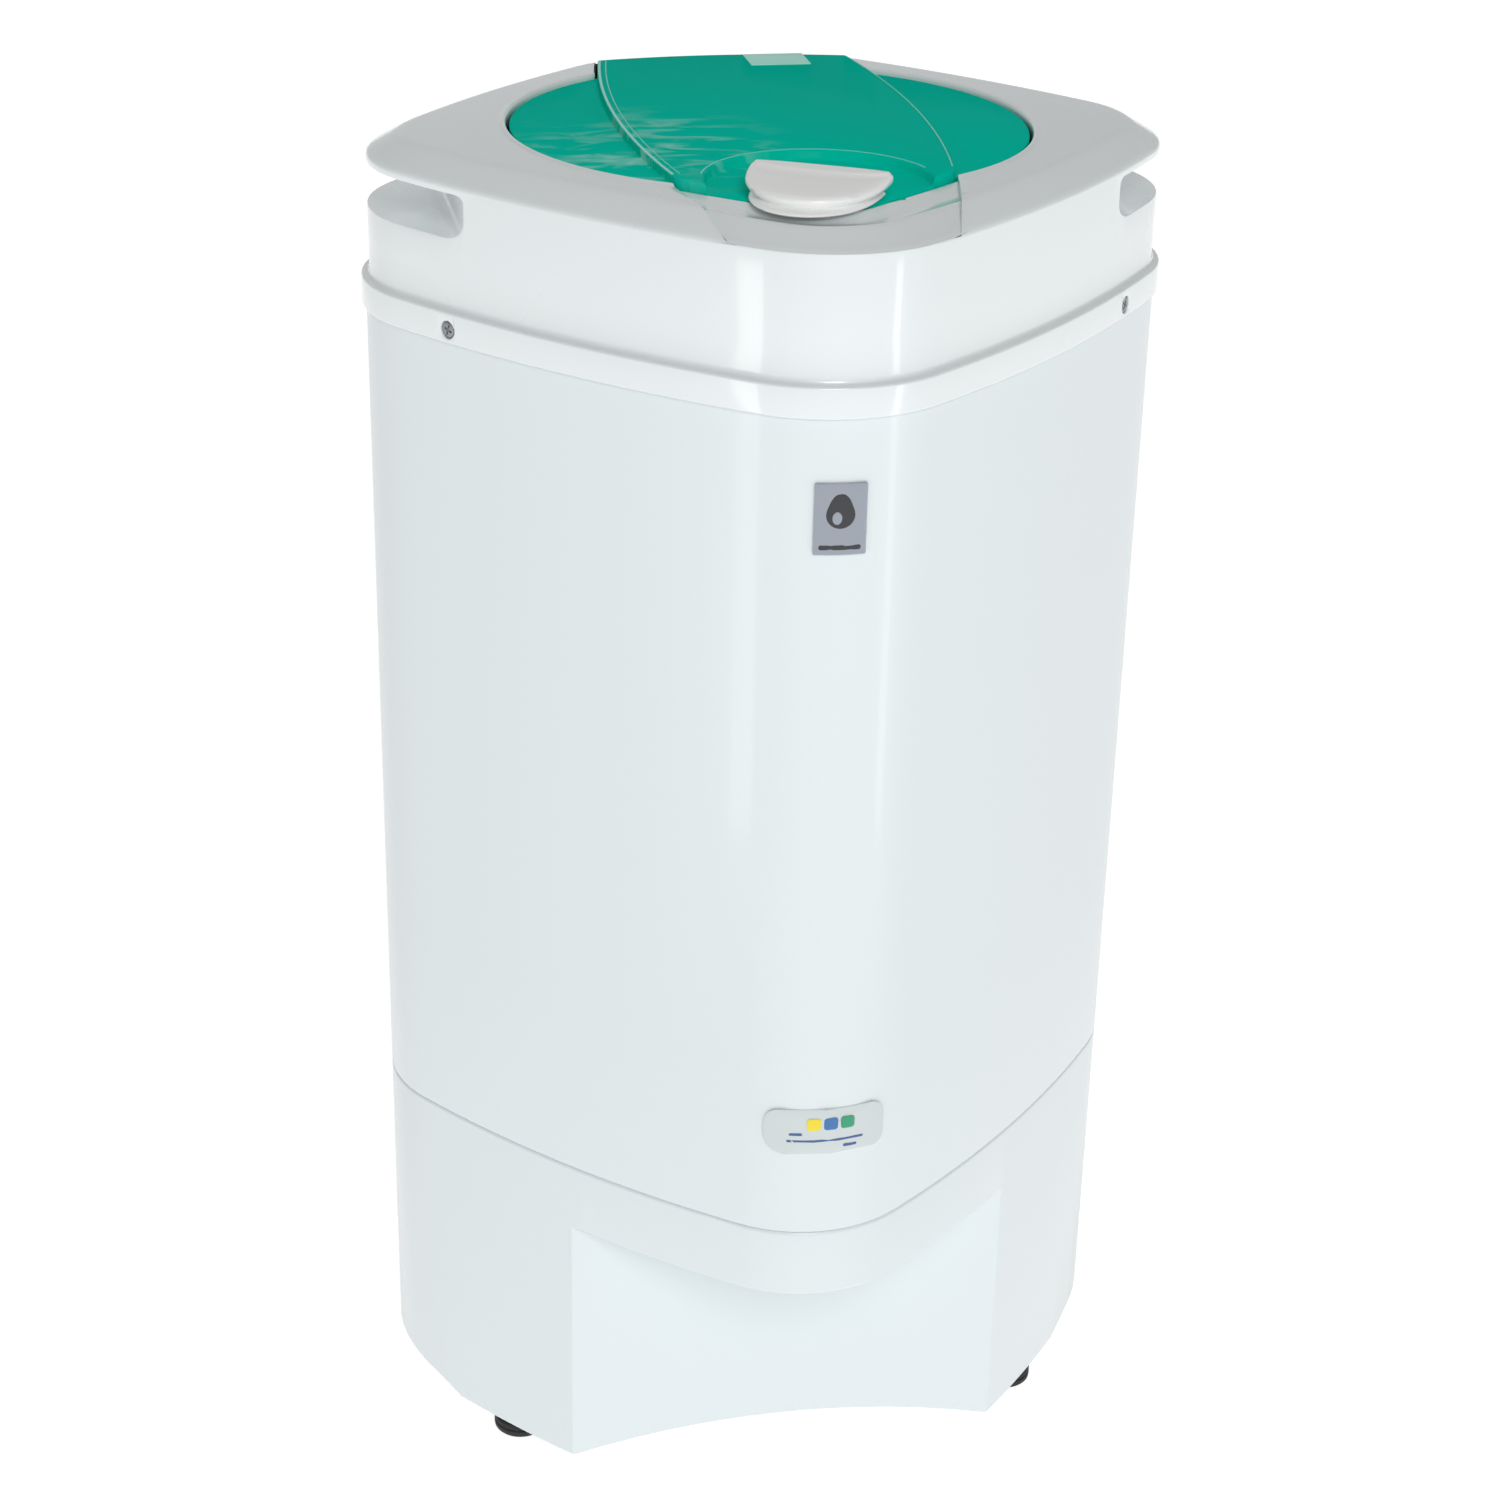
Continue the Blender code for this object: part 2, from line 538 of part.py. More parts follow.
def latch_pieces():
    knob = loft("latch_knob", [(knob_outline(half, back, front), z) for half, back, front, z in
                               ((0.0240, 0.0010, 0.0330, 0.6023), (0.0270, 0.0020, 0.0380, 0.6040),
                                (0.0280, 0.0025, 0.0360, 0.6065), (0.0275, 0.0030, 0.0230, 0.6110),
                                (0.0260, 0.0020, 0.0160, 0.6120))], "white_knob")
    knob.location = (LATCH.x, LATCH.y, 0)
    knob.rotation_euler = (0, 0, LATCH_TURN)
    spindle = rod("latch_spindle", [(0.0065, 0.5835), (0.0065, 0.5867), (0.0040, 0.5867), (0.0040, 0.6020)],
                  SMALL_ROUND, "zinc_steel")
    spindle.location = (LATCH.x, LATCH.y, 0)
    collar = ring("latch_spacer", 0.0043, 0.0075, 0.5913, 0.5992, SMALL_ROUND, "black_plastic")
    collar.location = (LATCH.x, LATCH.y, 0)
    tongue = rod("latch_tongue", [(0.0075, 0.587), (0.0075, 0.591)], SMALL_ROUND, "zinc_steel")
    tongue.location = (LATCH.x, LATCH.y, 0)
    arm = box("part_tongue_arm", (-0.022, LATCH.y - 0.004, 0.587), (0, LATCH.y + 0.004, 0.591))
    combine(tongue, arm, "UNION")
    bore = rod("cut_tongue_bore", [(0.0043, 0.57), (0.0043, 0.61)], SMALL_ROUND)
    bore.location = (LATCH.x, LATCH.y, 0)
    combine(tongue, bore)
    hang(pivot_at("latch_axis", LATCH), knob, spindle, collar, tongue)


def interlock_pieces():
    spot = (0.0, -0.122)
    bracket = box("switch_bracket", (-0.013, -0.1622, 0.578), (0.013, -0.1125, 0.580), "zinc_steel")
    hole = rod("cut_bracket_guide", [(0.0028, 0.57), (0.0028, 0.59)])
    hole.location = (*spot, 0)
    combine(bracket, hole)
    plunger = rod("interlock_plunger", [(0.0025, 0.5779), (0.0025, 0.588), (0.0014, 0.5895)], 12, "black_plastic")
    plunger.location = (*spot, 0)
    box("interlock_switch", (-0.010, -0.146, 0.5663), (0.010, -0.114, 0.5739), "black_plastic", bevel=0.0006)


# ---- tub and drum -------------------------------------------------------------------------------------------
def outer_tub():
    low, high = TUB_Z
    wall = 0.002
    tub = turned("outer_tub", [(TUB_R, low), (TUB_R, high), (TUB_R - wall, high), (TUB_R - wall, low + 0.003),
                               (0.024, low + 0.003), (0.024, low)], ROUND, "tub_plastic")
    nipple = rod("part_tub_nipple", [(0.0097, low - 0.018), (0.0097, low + 0.001)])
    nipple.location = (0, 0.070, 0)
    combine(tub, nipple, "UNION")
    bore = rod("cut_tub_nipple", [(0.0080, low - 0.03), (0.0080, low + 0.03)])
    bore.location = (0, 0.070, 0)
    return combine(tub, bore)


def tub_top():
    ring("tub_cover_ring", 0.098, TUB_R + 0.002, 0.560, 0.563, ROUND, "tub_plastic")
    low, high = 0.5633, 0.5924
    gasket = ring("tub_gasket", OPENING_R + 0.003, OPENING_R + 0.008, low, high, ROUND, "grey_rubber")
    combine(gasket, box("cut_gasket_notch", (-0.032, -0.2, 0.566), (0.032, -0.09, 0.60)))
    notch = (-0.032, REAR_Y - WALL - 0.0008, BAY_Z - WALL - 0.0004)
    combine(gasket, box("cut_gasket_rear", notch, (0.032, 0.2, 0.60)))


def spin_drum():
    low, high = DRUM_Z
    wall = 0.0015
    drum = turned("spin_drum", [(0.0085, low), (DRUM_R - 0.008, low), (DRUM_R, low + 0.008), (DRUM_R, high),
                                (DRUM_R - 0.004, high + wall), (DRUM_MOUTH_R, high + wall), (DRUM_MOUTH_R, high),
                                (DRUM_R - 0.005, high - 0.001), (DRUM_R - wall, high - 0.004),
                                (DRUM_R - wall, low + 0.009), (DRUM_R - 0.009, low + wall), (0.0085, low + wall)],
                  ROUND, "stainless")
    bm = bmesh.new()
    for row in range(4):
        for column in range(8):
            angle = math.pi * (2 * column + row % 2) / 8 + math.pi / ROUND
            spot = Matrix.Rotation(angle, 4, "Z") @ Matrix.Translation((DRUM_R, 0, low + 0.07 + 0.07 * row))
            bmesh.ops.create_cone(bm, cap_ends=True, segments=6, radius1=HOLE_R, radius2=HOLE_R, depth=0.012,
                                  matrix=spot @ Matrix.Rotation(math.pi / 2, 4, "Y"))
    combine(drum, finish("cut_drum_holes", bm))
    hub = turned("drum_hub", [(SHAFT_R + GAP, 0.202), (0.018, 0.202), (0.020, 0.2075), (0.048, 0.2090),
                              (0.048, 0.2117), (SHAFT_R + GAP, 0.2117)], ROUND, "aluminium")
    nut = ring("hub_nut", 0.0098, 0.0160, 0.2138, 0.2230, 6, "zinc_steel")
    dome = [(0.0400, 0.2138), (0.0385, 0.2260), (0.0300, 0.2400), (0.0150, 0.2480), (0, 0.2500)]
    inside = [(0, 0.2475), (0.0140, 0.2455), (0.0280, 0.2380), (0.0360, 0.2250), (0.0375, 0.2138)]
    cap = turned("hub_cap", dome + inside, 24, "tub_plastic")
    return drum, hub, nut, cap


# ---- motor, mounts and brake --------------------------------------------------------------------------------
def motor():
    """Pieces of the suspended unit, then those that spin in it."""
    low, high = MOTOR_Z
    plate = ring("motor_plate", 0.020, 0.096, *PLATE_Z, ROUND, "zinc_steel")
    can = [(MOTOR_R, low), (MOTOR_R, high - 0.006), (MOTOR_R - 0.006, high), (0.0143, high), (0.0143, high - 0.004),
           (MOTOR_R - 0.008, high - 0.004), (MOTOR_R - 0.003, high - 0.008), (MOTOR_R - 0.003, low)]
    housing = turned("motor_housing", can, ROUND, "painted_grey")
    end_cap = ring("motor_end_cap", 0.0143, MOTOR_R - 0.0033, 0.0765, 0.0805, ROUND, "aluminium")
    stator = ring("motor_stator", 0.031, MOTOR_R - 0.0033, 0.096, 0.134, ROUND, "lamination")
    winding_low = ring("stator_winding_lower", 0.033, 0.046, 0.0853, 0.0957, 24, "copper")
    winding_high = ring("stator_winding_upper", 0.033, 0.046, 0.1343, 0.1460, 24, "copper")
    upper = ring("bearing_upper", SHAFT_R + GAP, 0.014, 0.150, 0.160, 20, "stainless")
    lower = ring("bearing_lower", SHAFT_R + GAP, 0.014, 0.0745, 0.0835, 20, "stainless")
    still = [plate, housing, end_cap, stator, winding_low, winding_high, upper, lower]
    shaft = rod("drive_shaft", [(SHAFT_R, 0.050), (SHAFT_R, 0.226), (SHAFT_R - 0.0015, 0.228)], 20, "stainless")
    rotor = ring("motor_rotor", SHAFT_R + GAP, 0.0303, 0.096, 0.134, 24, "lamination")
    disc = ring("brake_disc", SHAFT_R + GAP, 0.034, 0.057, 0.063, ROUND, "zinc_steel")
    return still, [shaft, rotor, disc]


def mounts():
    """Three sprung mounts between chassis and motor plate: rubber cup and coil spring each."""
    seat = CHASSIS_Z + CHASSIS_THICK + GAP
    cup_top = 0.046
    first_cup = rod("mount_bush_rear", [(0.015, seat), (0.015, cup_top - 0.002), (0.013, cup_top)],
                    SMALL_ROUND, "black_rubber")
    spring_low, spring_high = cup_top + GAP, PLATE_Z[0] - GAP
    wire = 0.0014
    turns, per_turn, sides = 4.0, 12, 6
    count = int(turns * per_turn)
    bm = bmesh.new()
    loops = []
    for step in range(count + 1):
        angle = 2 * math.pi * step / per_turn
        middle = Vector((0.011 * math.cos(angle), 0.011 * math.sin(angle),
                         spring_low + wire + (spring_high - spring_low - 2 * wire) * step / count))
        outward = Vector((math.cos(angle), math.sin(angle), 0))
        spots = [2 * math.pi * k / sides + math.pi / sides for k in range(sides)]
        loops.append([bm.verts.new(middle + wire * (math.cos(t) * outward + math.sin(t) * Vector((0, 0, 1))))
                      for t in spots])
    for near, far in zip(loops, loops[1:]):
        for k in range(sides):
            n = (k + 1) % sides
            bm.faces.new((near[k], near[n], far[n], far[k]))
    bm.faces.new(reversed(loops[0]))
    bm.faces.new(loops[-1])
    first_spring = finish("mount_spring_rear", bm, "spring_steel")
    springs = []
    for degrees, where in ((90, "rear"), (210, "left"), (330, "right")):
        angle = math.radians(degrees)
        spot = (MOUNT_R * math.cos(angle), MOUNT_R * math.sin(angle), 0)
        if where == "rear":
            first_cup.location = spot
            first_spring.location = spot
            continue
        copy_of(first_cup, f"mount_bush_{where}", spot)
        springs.append(copy_of(first_spring, f"mount_spring_{where}", spot))
    return [first_spring] + springs


def brake():
    """Lever with lining beside the brake disc, its pin on the motor plate, and the cable's stop."""
    x, y, z = BRAKE_PIVOT
    arm = [(x - 0.004, y - 0.084), (x + 0.004, y - 0.084), (x + 0.006, y), (x + 0.004, y + 0.006),
           (x - 0.004, y + 0.006), (x - 0.006, y)]
    lever = extruded("brake_lever", arm, "Z", z - 0.003, z + 0.003, "zinc_steel")
    bore = rod("cut_lever_bore", [(0.0033, 0.04), (0.0033, 0.08)])
    bore.location = (x, y, 0)
    combine(lever, bore)
    lining = box("brake_lining", (0.0346, -0.009, z - 0.003), (x - 0.0065, 0.009, z + 0.003), "brake_lining")
    hang(pivot_at("brake_axis", BRAKE_PIVOT), lever, lining)
    pin = rod("brake_pin", [(0.0045, z - 0.0065), (0.0045, z - 0.0035), (0.0030, z - 0.0035),
                            (0.0030, PLATE_Z[0] - GAP)], SMALL_ROUND, "zinc_steel")
    pin.location = (x, y, 0)
    stop = box("cable_stop", (0.072, -0.064, z - 0.006), (0.075, -0.053, PLATE_Z[0] - GAP), "zinc_steel")
    return pin, stop


def brake_cable():
    """Sheathed cable from the latch corner down to its stop at the brake."""
    route = [(0.0765, -0.057, 0.060), (0.0850, -0.057, 0.062), (0.0930, -0.060, 0.074), (0.0930, -0.068, 0.096),
             (0.0780, -0.080, 0.122), (0.0520, -0.092, 0.146), (0.0260, -0.112, 0.164), (0.0080, -0.138, 0.184),
             (0.0010, -0.149, 0.215), (0.0, -0.151, 0.270), (0.0, -0.151, 0.350), (0.0, -0.151, 0.430),
             (0.0, -0.151, 0.500), (0.0, -0.151, 0.5645)]
    curve = bpy.data.curves.new("brake_cable", "CURVE")
    curve.dimensions = "3D"
    curve.bevel_depth = 0.002
    curve.bevel_resolution = 1
    curve.use_fill_caps = True
    spline = curve.splines.new("POLY")
    points = smooth_route([Vector(p) for p in route], 4)
    spline.points.add(len(points) - 1)
    for point, place in zip(spline.points, points):
        point.co = (*place, 1)
    obj = bpy.data.objects.new("brake_cable", curve)
    curve.materials.append(material("black_plastic"))
    bpy.context.scene.collection.objects.link(obj)


def smooth_route(points, steps):
    """Points on the Catmull-Rom curve through the route."""
    whole = [2 * points[0] - points[1]] + points + [2 * points[-1] - points[-2]]
    made = []
    for a, b, c, d in zip(whole, whole[1:], whole[2:], whole[3:]):
        for k in range(steps):
            t = k / steps
            made.append(0.5 * (2 * b + (c - a) * t + (2 * a - 5 * b + 4 * c - d) * t ** 2
                               + (3 * b - a - 3 * c + d) * t ** 3))
    return made + [points[-1]]


# ---- drain and electrics ------------------------------------------------------------------------------------
def drain():
    bend = 0.020
    down = [Vector((0, 0.070, z)) for z in (TUB_Z[0] - GAP, 0.160, SPOUT_Z + bend)]
    round_bend = [Vector((0, 0.070 + bend * (1 - math.cos(a)), SPOUT_Z + bend * (1 - math.sin(a))))
                  for a in (math.pi / 2 * k / 6 for k in range(1, 7))]
    path = down + round_bend + [Vector((0, FACET_Y - BASE_WALL - 0.0006, SPOUT_Z))]
    tube_along("drain_hose", path, 0.0125, 0.0100, SMALL_ROUND, "grey_rubber")
    profile = [(0.0097, -0.0115), (0.0097, 0.0003), (0.0150, 0.0003), (0.0150, 0.0030), (0.0105, 0.0045),
               (0.0100, 0.0300), (0.0075, 0.0300), (0.0075, -0.0115)]
    spout = turned("drain_spout", profile, SMALL_ROUND, "white_gloss")
    lie_along(spout, (0, 1, 0), (0, FACET_Y, SPOUT_Z))
    ring("shaft_seal", 0.009, 0.030, TUB_Z[0] + 0.0033, 0.1960, 24, "black_rubber")


def electrics():
    seat = CHASSIS_Z + CHASSIS_THICK + GAP
    capacitor = rod("run_capacitor", [(0.0105, -0.030), (0.0120, -0.028), (0.0120, 0.030)], 20, "aluminium")
    lie_along(capacitor, (1, 0, 0), (-0.008, -0.078, seat + 0.0138))
    box("terminal_block", (0.078, 0.020, seat), (0.098, 0.056, seat + 0.014), "black_plastic", bevel=0.001)


def build():
    clear_scene()
    base_housing()
    chassis_plate()
    feet()
    cable_gland()
    body_casing()
    cover_screws()
    badges()
    top_cover()
    hang(pivot_at("lid_axis", HINGE), lid_window())
    hinge_pieces()
    latch_pieces()
    interlock_pieces()
    outer_tub()
    tub_top()
    still, spinning = motor()
    spinning.extend(spin_drum())
    still.extend(brake())
    hang(pivot_at("spin_axis", Vector((0, 0, MOTOR_Z[0]))), *spinning)
    mounts()
    brake_cable()
    drain()
    electrics()


build()
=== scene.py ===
"""Looks of a portable centrifugal spin dryer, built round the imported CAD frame.

White moulded cabinet standing corner-on, emerald lid with a turn latch, steel drum inside.
All lengths are in metres in the frame's own axes: latch corner at -Y, hinge corner at +Y.
"""
import json
import math

import bmesh
import bpy
from mathutils import Matrix, Vector


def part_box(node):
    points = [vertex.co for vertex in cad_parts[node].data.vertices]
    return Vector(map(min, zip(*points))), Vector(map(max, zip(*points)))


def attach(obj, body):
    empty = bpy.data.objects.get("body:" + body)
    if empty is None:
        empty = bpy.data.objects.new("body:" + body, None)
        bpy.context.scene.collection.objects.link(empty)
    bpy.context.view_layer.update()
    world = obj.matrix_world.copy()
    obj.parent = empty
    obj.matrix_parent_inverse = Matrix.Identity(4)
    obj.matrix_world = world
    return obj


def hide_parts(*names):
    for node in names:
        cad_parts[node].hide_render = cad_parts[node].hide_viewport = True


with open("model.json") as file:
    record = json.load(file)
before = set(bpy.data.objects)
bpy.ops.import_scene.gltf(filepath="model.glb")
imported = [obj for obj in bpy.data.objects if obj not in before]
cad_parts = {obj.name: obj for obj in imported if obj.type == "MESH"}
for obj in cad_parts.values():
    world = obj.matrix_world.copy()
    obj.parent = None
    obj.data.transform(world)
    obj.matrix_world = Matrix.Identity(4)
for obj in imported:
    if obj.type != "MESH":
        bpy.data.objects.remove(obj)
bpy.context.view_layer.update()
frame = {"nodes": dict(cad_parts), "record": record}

# ---- dimensions shared with the CAD model --------------------------------------------------------
HALF_FLAT = 0.142
BULGE = 0.123
CORNER_SHARE = 0.404
Z_BASE, Z_SEAM, Z_SKIRT = 0.009, 0.1665, 0.532
Z_DECK, Z_CHANNEL, Z_RIM = 0.6035, 0.5952, 0.6008
COLLAR_INSET = 0.0016
OPENING_R = 0.109
FACET_Y, FACET_TOP = 0.102, 0.1347
POCKET_X, POCKET_Z = 0.134, (0.574, 0.592)
LID_INSET = 0.036
BAND_HALF, BAND_R, BAND_Y, BAND_GAP = 0.0645, 0.599, 0.010, 0.0011
WELL_CENTRE, WELL_R, WELL_FLOOR = (0.0, -0.1015), 0.045, 0.602
LID_TOP = 0.606
LATCH = Vector((0.0, -0.104, 0.600))
LATCH_TURN = math.radians(-27)
HINGE = Vector((0.0, 0.1225, 0.5975))
REAR_Y, BAY_Z, LID_REAR, REAR_BOW = 0.1165, 0.574, 0.116, 0.006
SPOUT, GLAND = (0, FACET_Y, 0.110), (0.055, FACET_Y, 0.058)
SCREW_Z, SCREW_ACROSS = 0.5375, 0.0585
CORNER_REACH = 0.1113706  # from the upright axis to the centre of the front corner's rounding
SIDE_STEPS, CORNER_STEPS = 16, 14


# ---- mesh helpers --------------------------------------------------------------------------------
def finish_mesh(name, bm, mat=None, smooth=38):
    bmesh.ops.remove_doubles(bm, verts=bm.verts, dist=1e-7)
    bmesh.ops.recalc_face_normals(bm, faces=bm.faces)
    mesh = bpy.data.meshes.new(name)
    bm.to_mesh(mesh)
    bm.free()
    obj = bpy.data.objects.new(name, mesh)
    bpy.context.scene.collection.objects.link(obj)
    if mat is None:
        obj.hide_render = True
        obj.display_type = "WIRE"
        return obj
    mesh.materials.append(mat)
    mesh.shade_smooth()
    mesh.set_sharp_from_angle(angle=math.radians(smooth))
    return obj


def settle(obj, bevel=0.0, angle=42, segments=2, smooth=38):
    """Applies the modifiers, after a bevel on the sharp edges, and drops the cutters that were used."""
    cutters = [m.object for m in obj.modifiers if m.type == "BOOLEAN"]
    if bevel:
        modifier = obj.modifiers.new("edge", "BEVEL")
        modifier.width = bevel
        modifier.segments = segments
        modifier.limit_method = "ANGLE"
        modifier.angle_limit = math.radians(angle)
        modifier.use_clamp_overlap = False
        modifier.miter_outer = "MITER_ARC"
    graph = bpy.context.evaluated_depsgraph_get()
    done = bpy.data.meshes.new_from_object(obj.evaluated_get(graph))
    obj.modifiers.clear()
    old = obj.data
    obj.data = done
    done.name = obj.name
    bpy.data.meshes.remove(old)
    done.shade_smooth()
    done.set_sharp_from_angle(angle=math.radians(smooth))
    for cutter in cutters:
        bpy.data.objects.remove(cutter, do_unlink=True)
    return obj


def combine(obj, other, operation="DIFFERENCE"):
    if other.modifiers:
        settle(other)
    modifier = obj.modifiers.new(other.name, "BOOLEAN")
    modifier.operation = operation
    modifier.solver = "EXACT"
    modifier.object = other
    return obj


def outline(half, inset=0.0):
    """Rounded square with bulged sides and its corners on the axes, moved inwards by inset."""
    side_r = half * (1 + BULGE ** 2) / (2 * BULGE)
    corner_r = half * CORNER_SHARE
    back = side_r - half
    reach = (-2 * back + math.sqrt(4 * back ** 2 - 8 * (back ** 2 - (side_r - corner_r) ** 2))) / 4
    turn = math.atan2(reach, reach + back)
    points = []
    for quarter in range(4):
        spin = Matrix.Rotation(quarter * math.pi / 2 + math.pi / 4, 2)
        for step in range(SIDE_STEPS):
            angle = -turn + 2 * turn * step / SIDE_STEPS
            points.append(spin @ Vector((-back + (side_r - inset) * math.cos(angle),
                                         (side_r - inset) * math.sin(angle))))
        for step in range(CORNER_STEPS):
            angle = turn + (math.pi / 2 - 2 * turn) * step / CORNER_STEPS
            points.append(spin @ Vector((reach + (corner_r - inset) * math.cos(angle),
                                         reach + (corner_r - inset) * math.sin(angle))))
    return points


def circle(radius):
    """A circle with one point for each point of the plan outline, in the same directions."""
    return [spot.normalized() * radius for spot in outline(HALF_FLAT)]


def loft(name, rings, mat=None, tube=False, smooth=38):
    bm = bmesh.new()
    loops = [[bm.verts.new((p[0], p[1], z)) for p in points] for points, z in rings]
    pairs = list(zip(loops, loops[1:]))
    if tube:
        pairs.append((loops[-1], loops[0]))
    for lower, upper in pairs:
        for i, corner in enumerate(lower):
            j = (i + 1) % len(lower)
            bm.faces.new((corner, lower[j], upper[j], upper[i]))
    if not tube:
        bm.faces.new(reversed(loops[0]))
        bm.faces.new(loops[-1])
    return finish_mesh(name, bm, mat, smooth)


def shell(name, half, profile, mat=None):
    return loft(name, [(outline(half, inset), z) for inset, z in profile], mat, tube=True)


def prism(name, half, inset, low, high, mat=None):
    return loft(name, [(outline(half, inset), low), (outline(half, inset), high)], mat)


def turned(name, profile, steps=96, mat=None, closed=True, axis=(0, 0, 1), at=(0, 0, 0), smooth=38):
    """Profile of (radius, z) spun about its axis. An open profile starts and ends on the axis."""
    bm = bmesh.new()
    rings = []
    for radius, z in profile:
        if radius < 1e-9:
            rings.append([bm.verts.new((0, 0, z))])
            continue
        rings.append([bm.verts.new((radius * math.cos(2 * math.pi * k / steps),
                                    radius * math.sin(2 * math.pi * k / steps), z)) for k in range(steps)])
    pairs = list(zip(rings, rings[1:])) + ([(rings[-1], rings[0])] if closed else [])
    for a, b in pairs:
        for k in range(steps):
            n = (k + 1) % steps
            corners = [a[k % len(a)], a[n % len(a)], b[n % len(b)], b[k % len(b)]]
            corners = list(dict.fromkeys(corners))
            if len(corners) > 2:
                bm.faces.new(corners)
    turn = Vector((0, 0, 1)).rotation_difference(Vector(axis)).to_matrix().to_4x4()
    bmesh.ops.transform(bm, matrix=Matrix.Translation(at) @ turn, verts=bm.verts)
    return finish_mesh(name, bm, mat, smooth)


def rod(name, profile, steps=48, mat=None, **place):
    whole = [(0, profile[0][1])] + list(profile) + [(0, profile[-1][1])]
    return turned(name, whole, steps, mat, closed=False, **place)


def box(name, low, high, mat=None, bevel=0.0, segments=3):
    bm = bmesh.new()
    bmesh.ops.create_cube(bm, size=1)
    bmesh.ops.scale(bm, vec=Vector(high) - Vector(low), verts=bm.verts)
    bmesh.ops.translate(bm, vec=(Vector(high) + Vector(low)) / 2, verts=bm.verts)
    if bevel:
        bmesh.ops.bevel(bm, geom=bm.edges[:], offset=bevel, segments=segments, affect="EDGES", profile=0.5)
    return finish_mesh(name, bm, mat)


def extruded(name, points, axis, low, high, mat=None):
    place = {"X": lambda a, b, t: (t, a, b),
             "Y": lambda a, b, t: (a, t, b),
             "Z": lambda a, b, t: (a, b, t)}[axis]
    bm = bmesh.new()
    start = [bm.verts.new(place(a, b, low)) for a, b in points]
    end = [bm.verts.new(place(a, b, high)) for a, b in points]
    bm.faces.new(start)
    bm.faces.new(end)
    for i in range(len(points)):
        j = (i + 1) % len(points)
        bm.faces.new((start[i], start[j], end[j], end[i]))
    return finish_mesh(name, bm, mat)


def rounded_rectangle(cx, cz, half_x, half_z, radii, steps=6):
    """Corners in the order right-top, left-top, left-bottom, right-bottom, each with its own radius."""
    points = []
    for quarter, (sx, sz) in enumerate(((1, 1), (-1, 1), (-1, -1), (1, -1))):
        radius = radii[quarter]
        for step in range(steps + 1):
            angle = (quarter + step / steps) * math.pi / 2
            points.append((cx + sx * (half_x - radius) + radius * math.cos(angle),
                           cz + sz * (half_z - radius) + radius * math.sin(angle)))
    return points


def band(grow, low, high, steps=40, bow=0.0):
    """Outline of the lid's raised band, widened by grow: bowed sides and a rear edge that bows to high."""
    radius, middle = BAND_R + grow, BAND_HALF - BAND_R
    ys = [low + (high - bow - low) * step / steps for step in range(steps + 1)]
    right = [(middle + math.sqrt(radius ** 2 - (y - BAND_Y) ** 2), y) for y in ys]
    end = right[-1][0]
    rear = [(end * k / 12, high - bow * (k / 12) ** 2) for k in range(11, -12, -1)] if bow else []
    return right + rear + [(-x, y) for x, y in reversed(right)]


def arch(half_span, rise, foot, steps=28):
    radius = (half_span ** 2 + rise ** 2) / (2 * rise)
    spread = math.asin(half_span / radius)
    points = []
    for step in range(steps + 1):
        angle = spread * (1 - 2 * step / steps)
        points.append((radius * math.sin(angle), foot + rise - radius + radius * math.cos(angle)))
    return points + [(-half_span, foot - 0.05), (half_span, foot - 0.05)]


def flank(x_sign, y_sign, across, half=HALF_FLAT):
    """Point on the body's side at a distance across from its middle, and the outward direction there."""
    side_r = half * (1 + BULGE ** 2) / (2 * BULGE)
    angle = math.asin(across / side_r)
    middle = Vector((x_sign, y_sign)).normalized()
    outward = math.cos(angle) * middle + math.sin(angle) * Vector((x_sign, -y_sign)).normalized()
    place = middle * (half - side_r) + outward * side_r
    return Vector((place.x, place.y, 0)), Vector((outward.x, outward.y, 0))


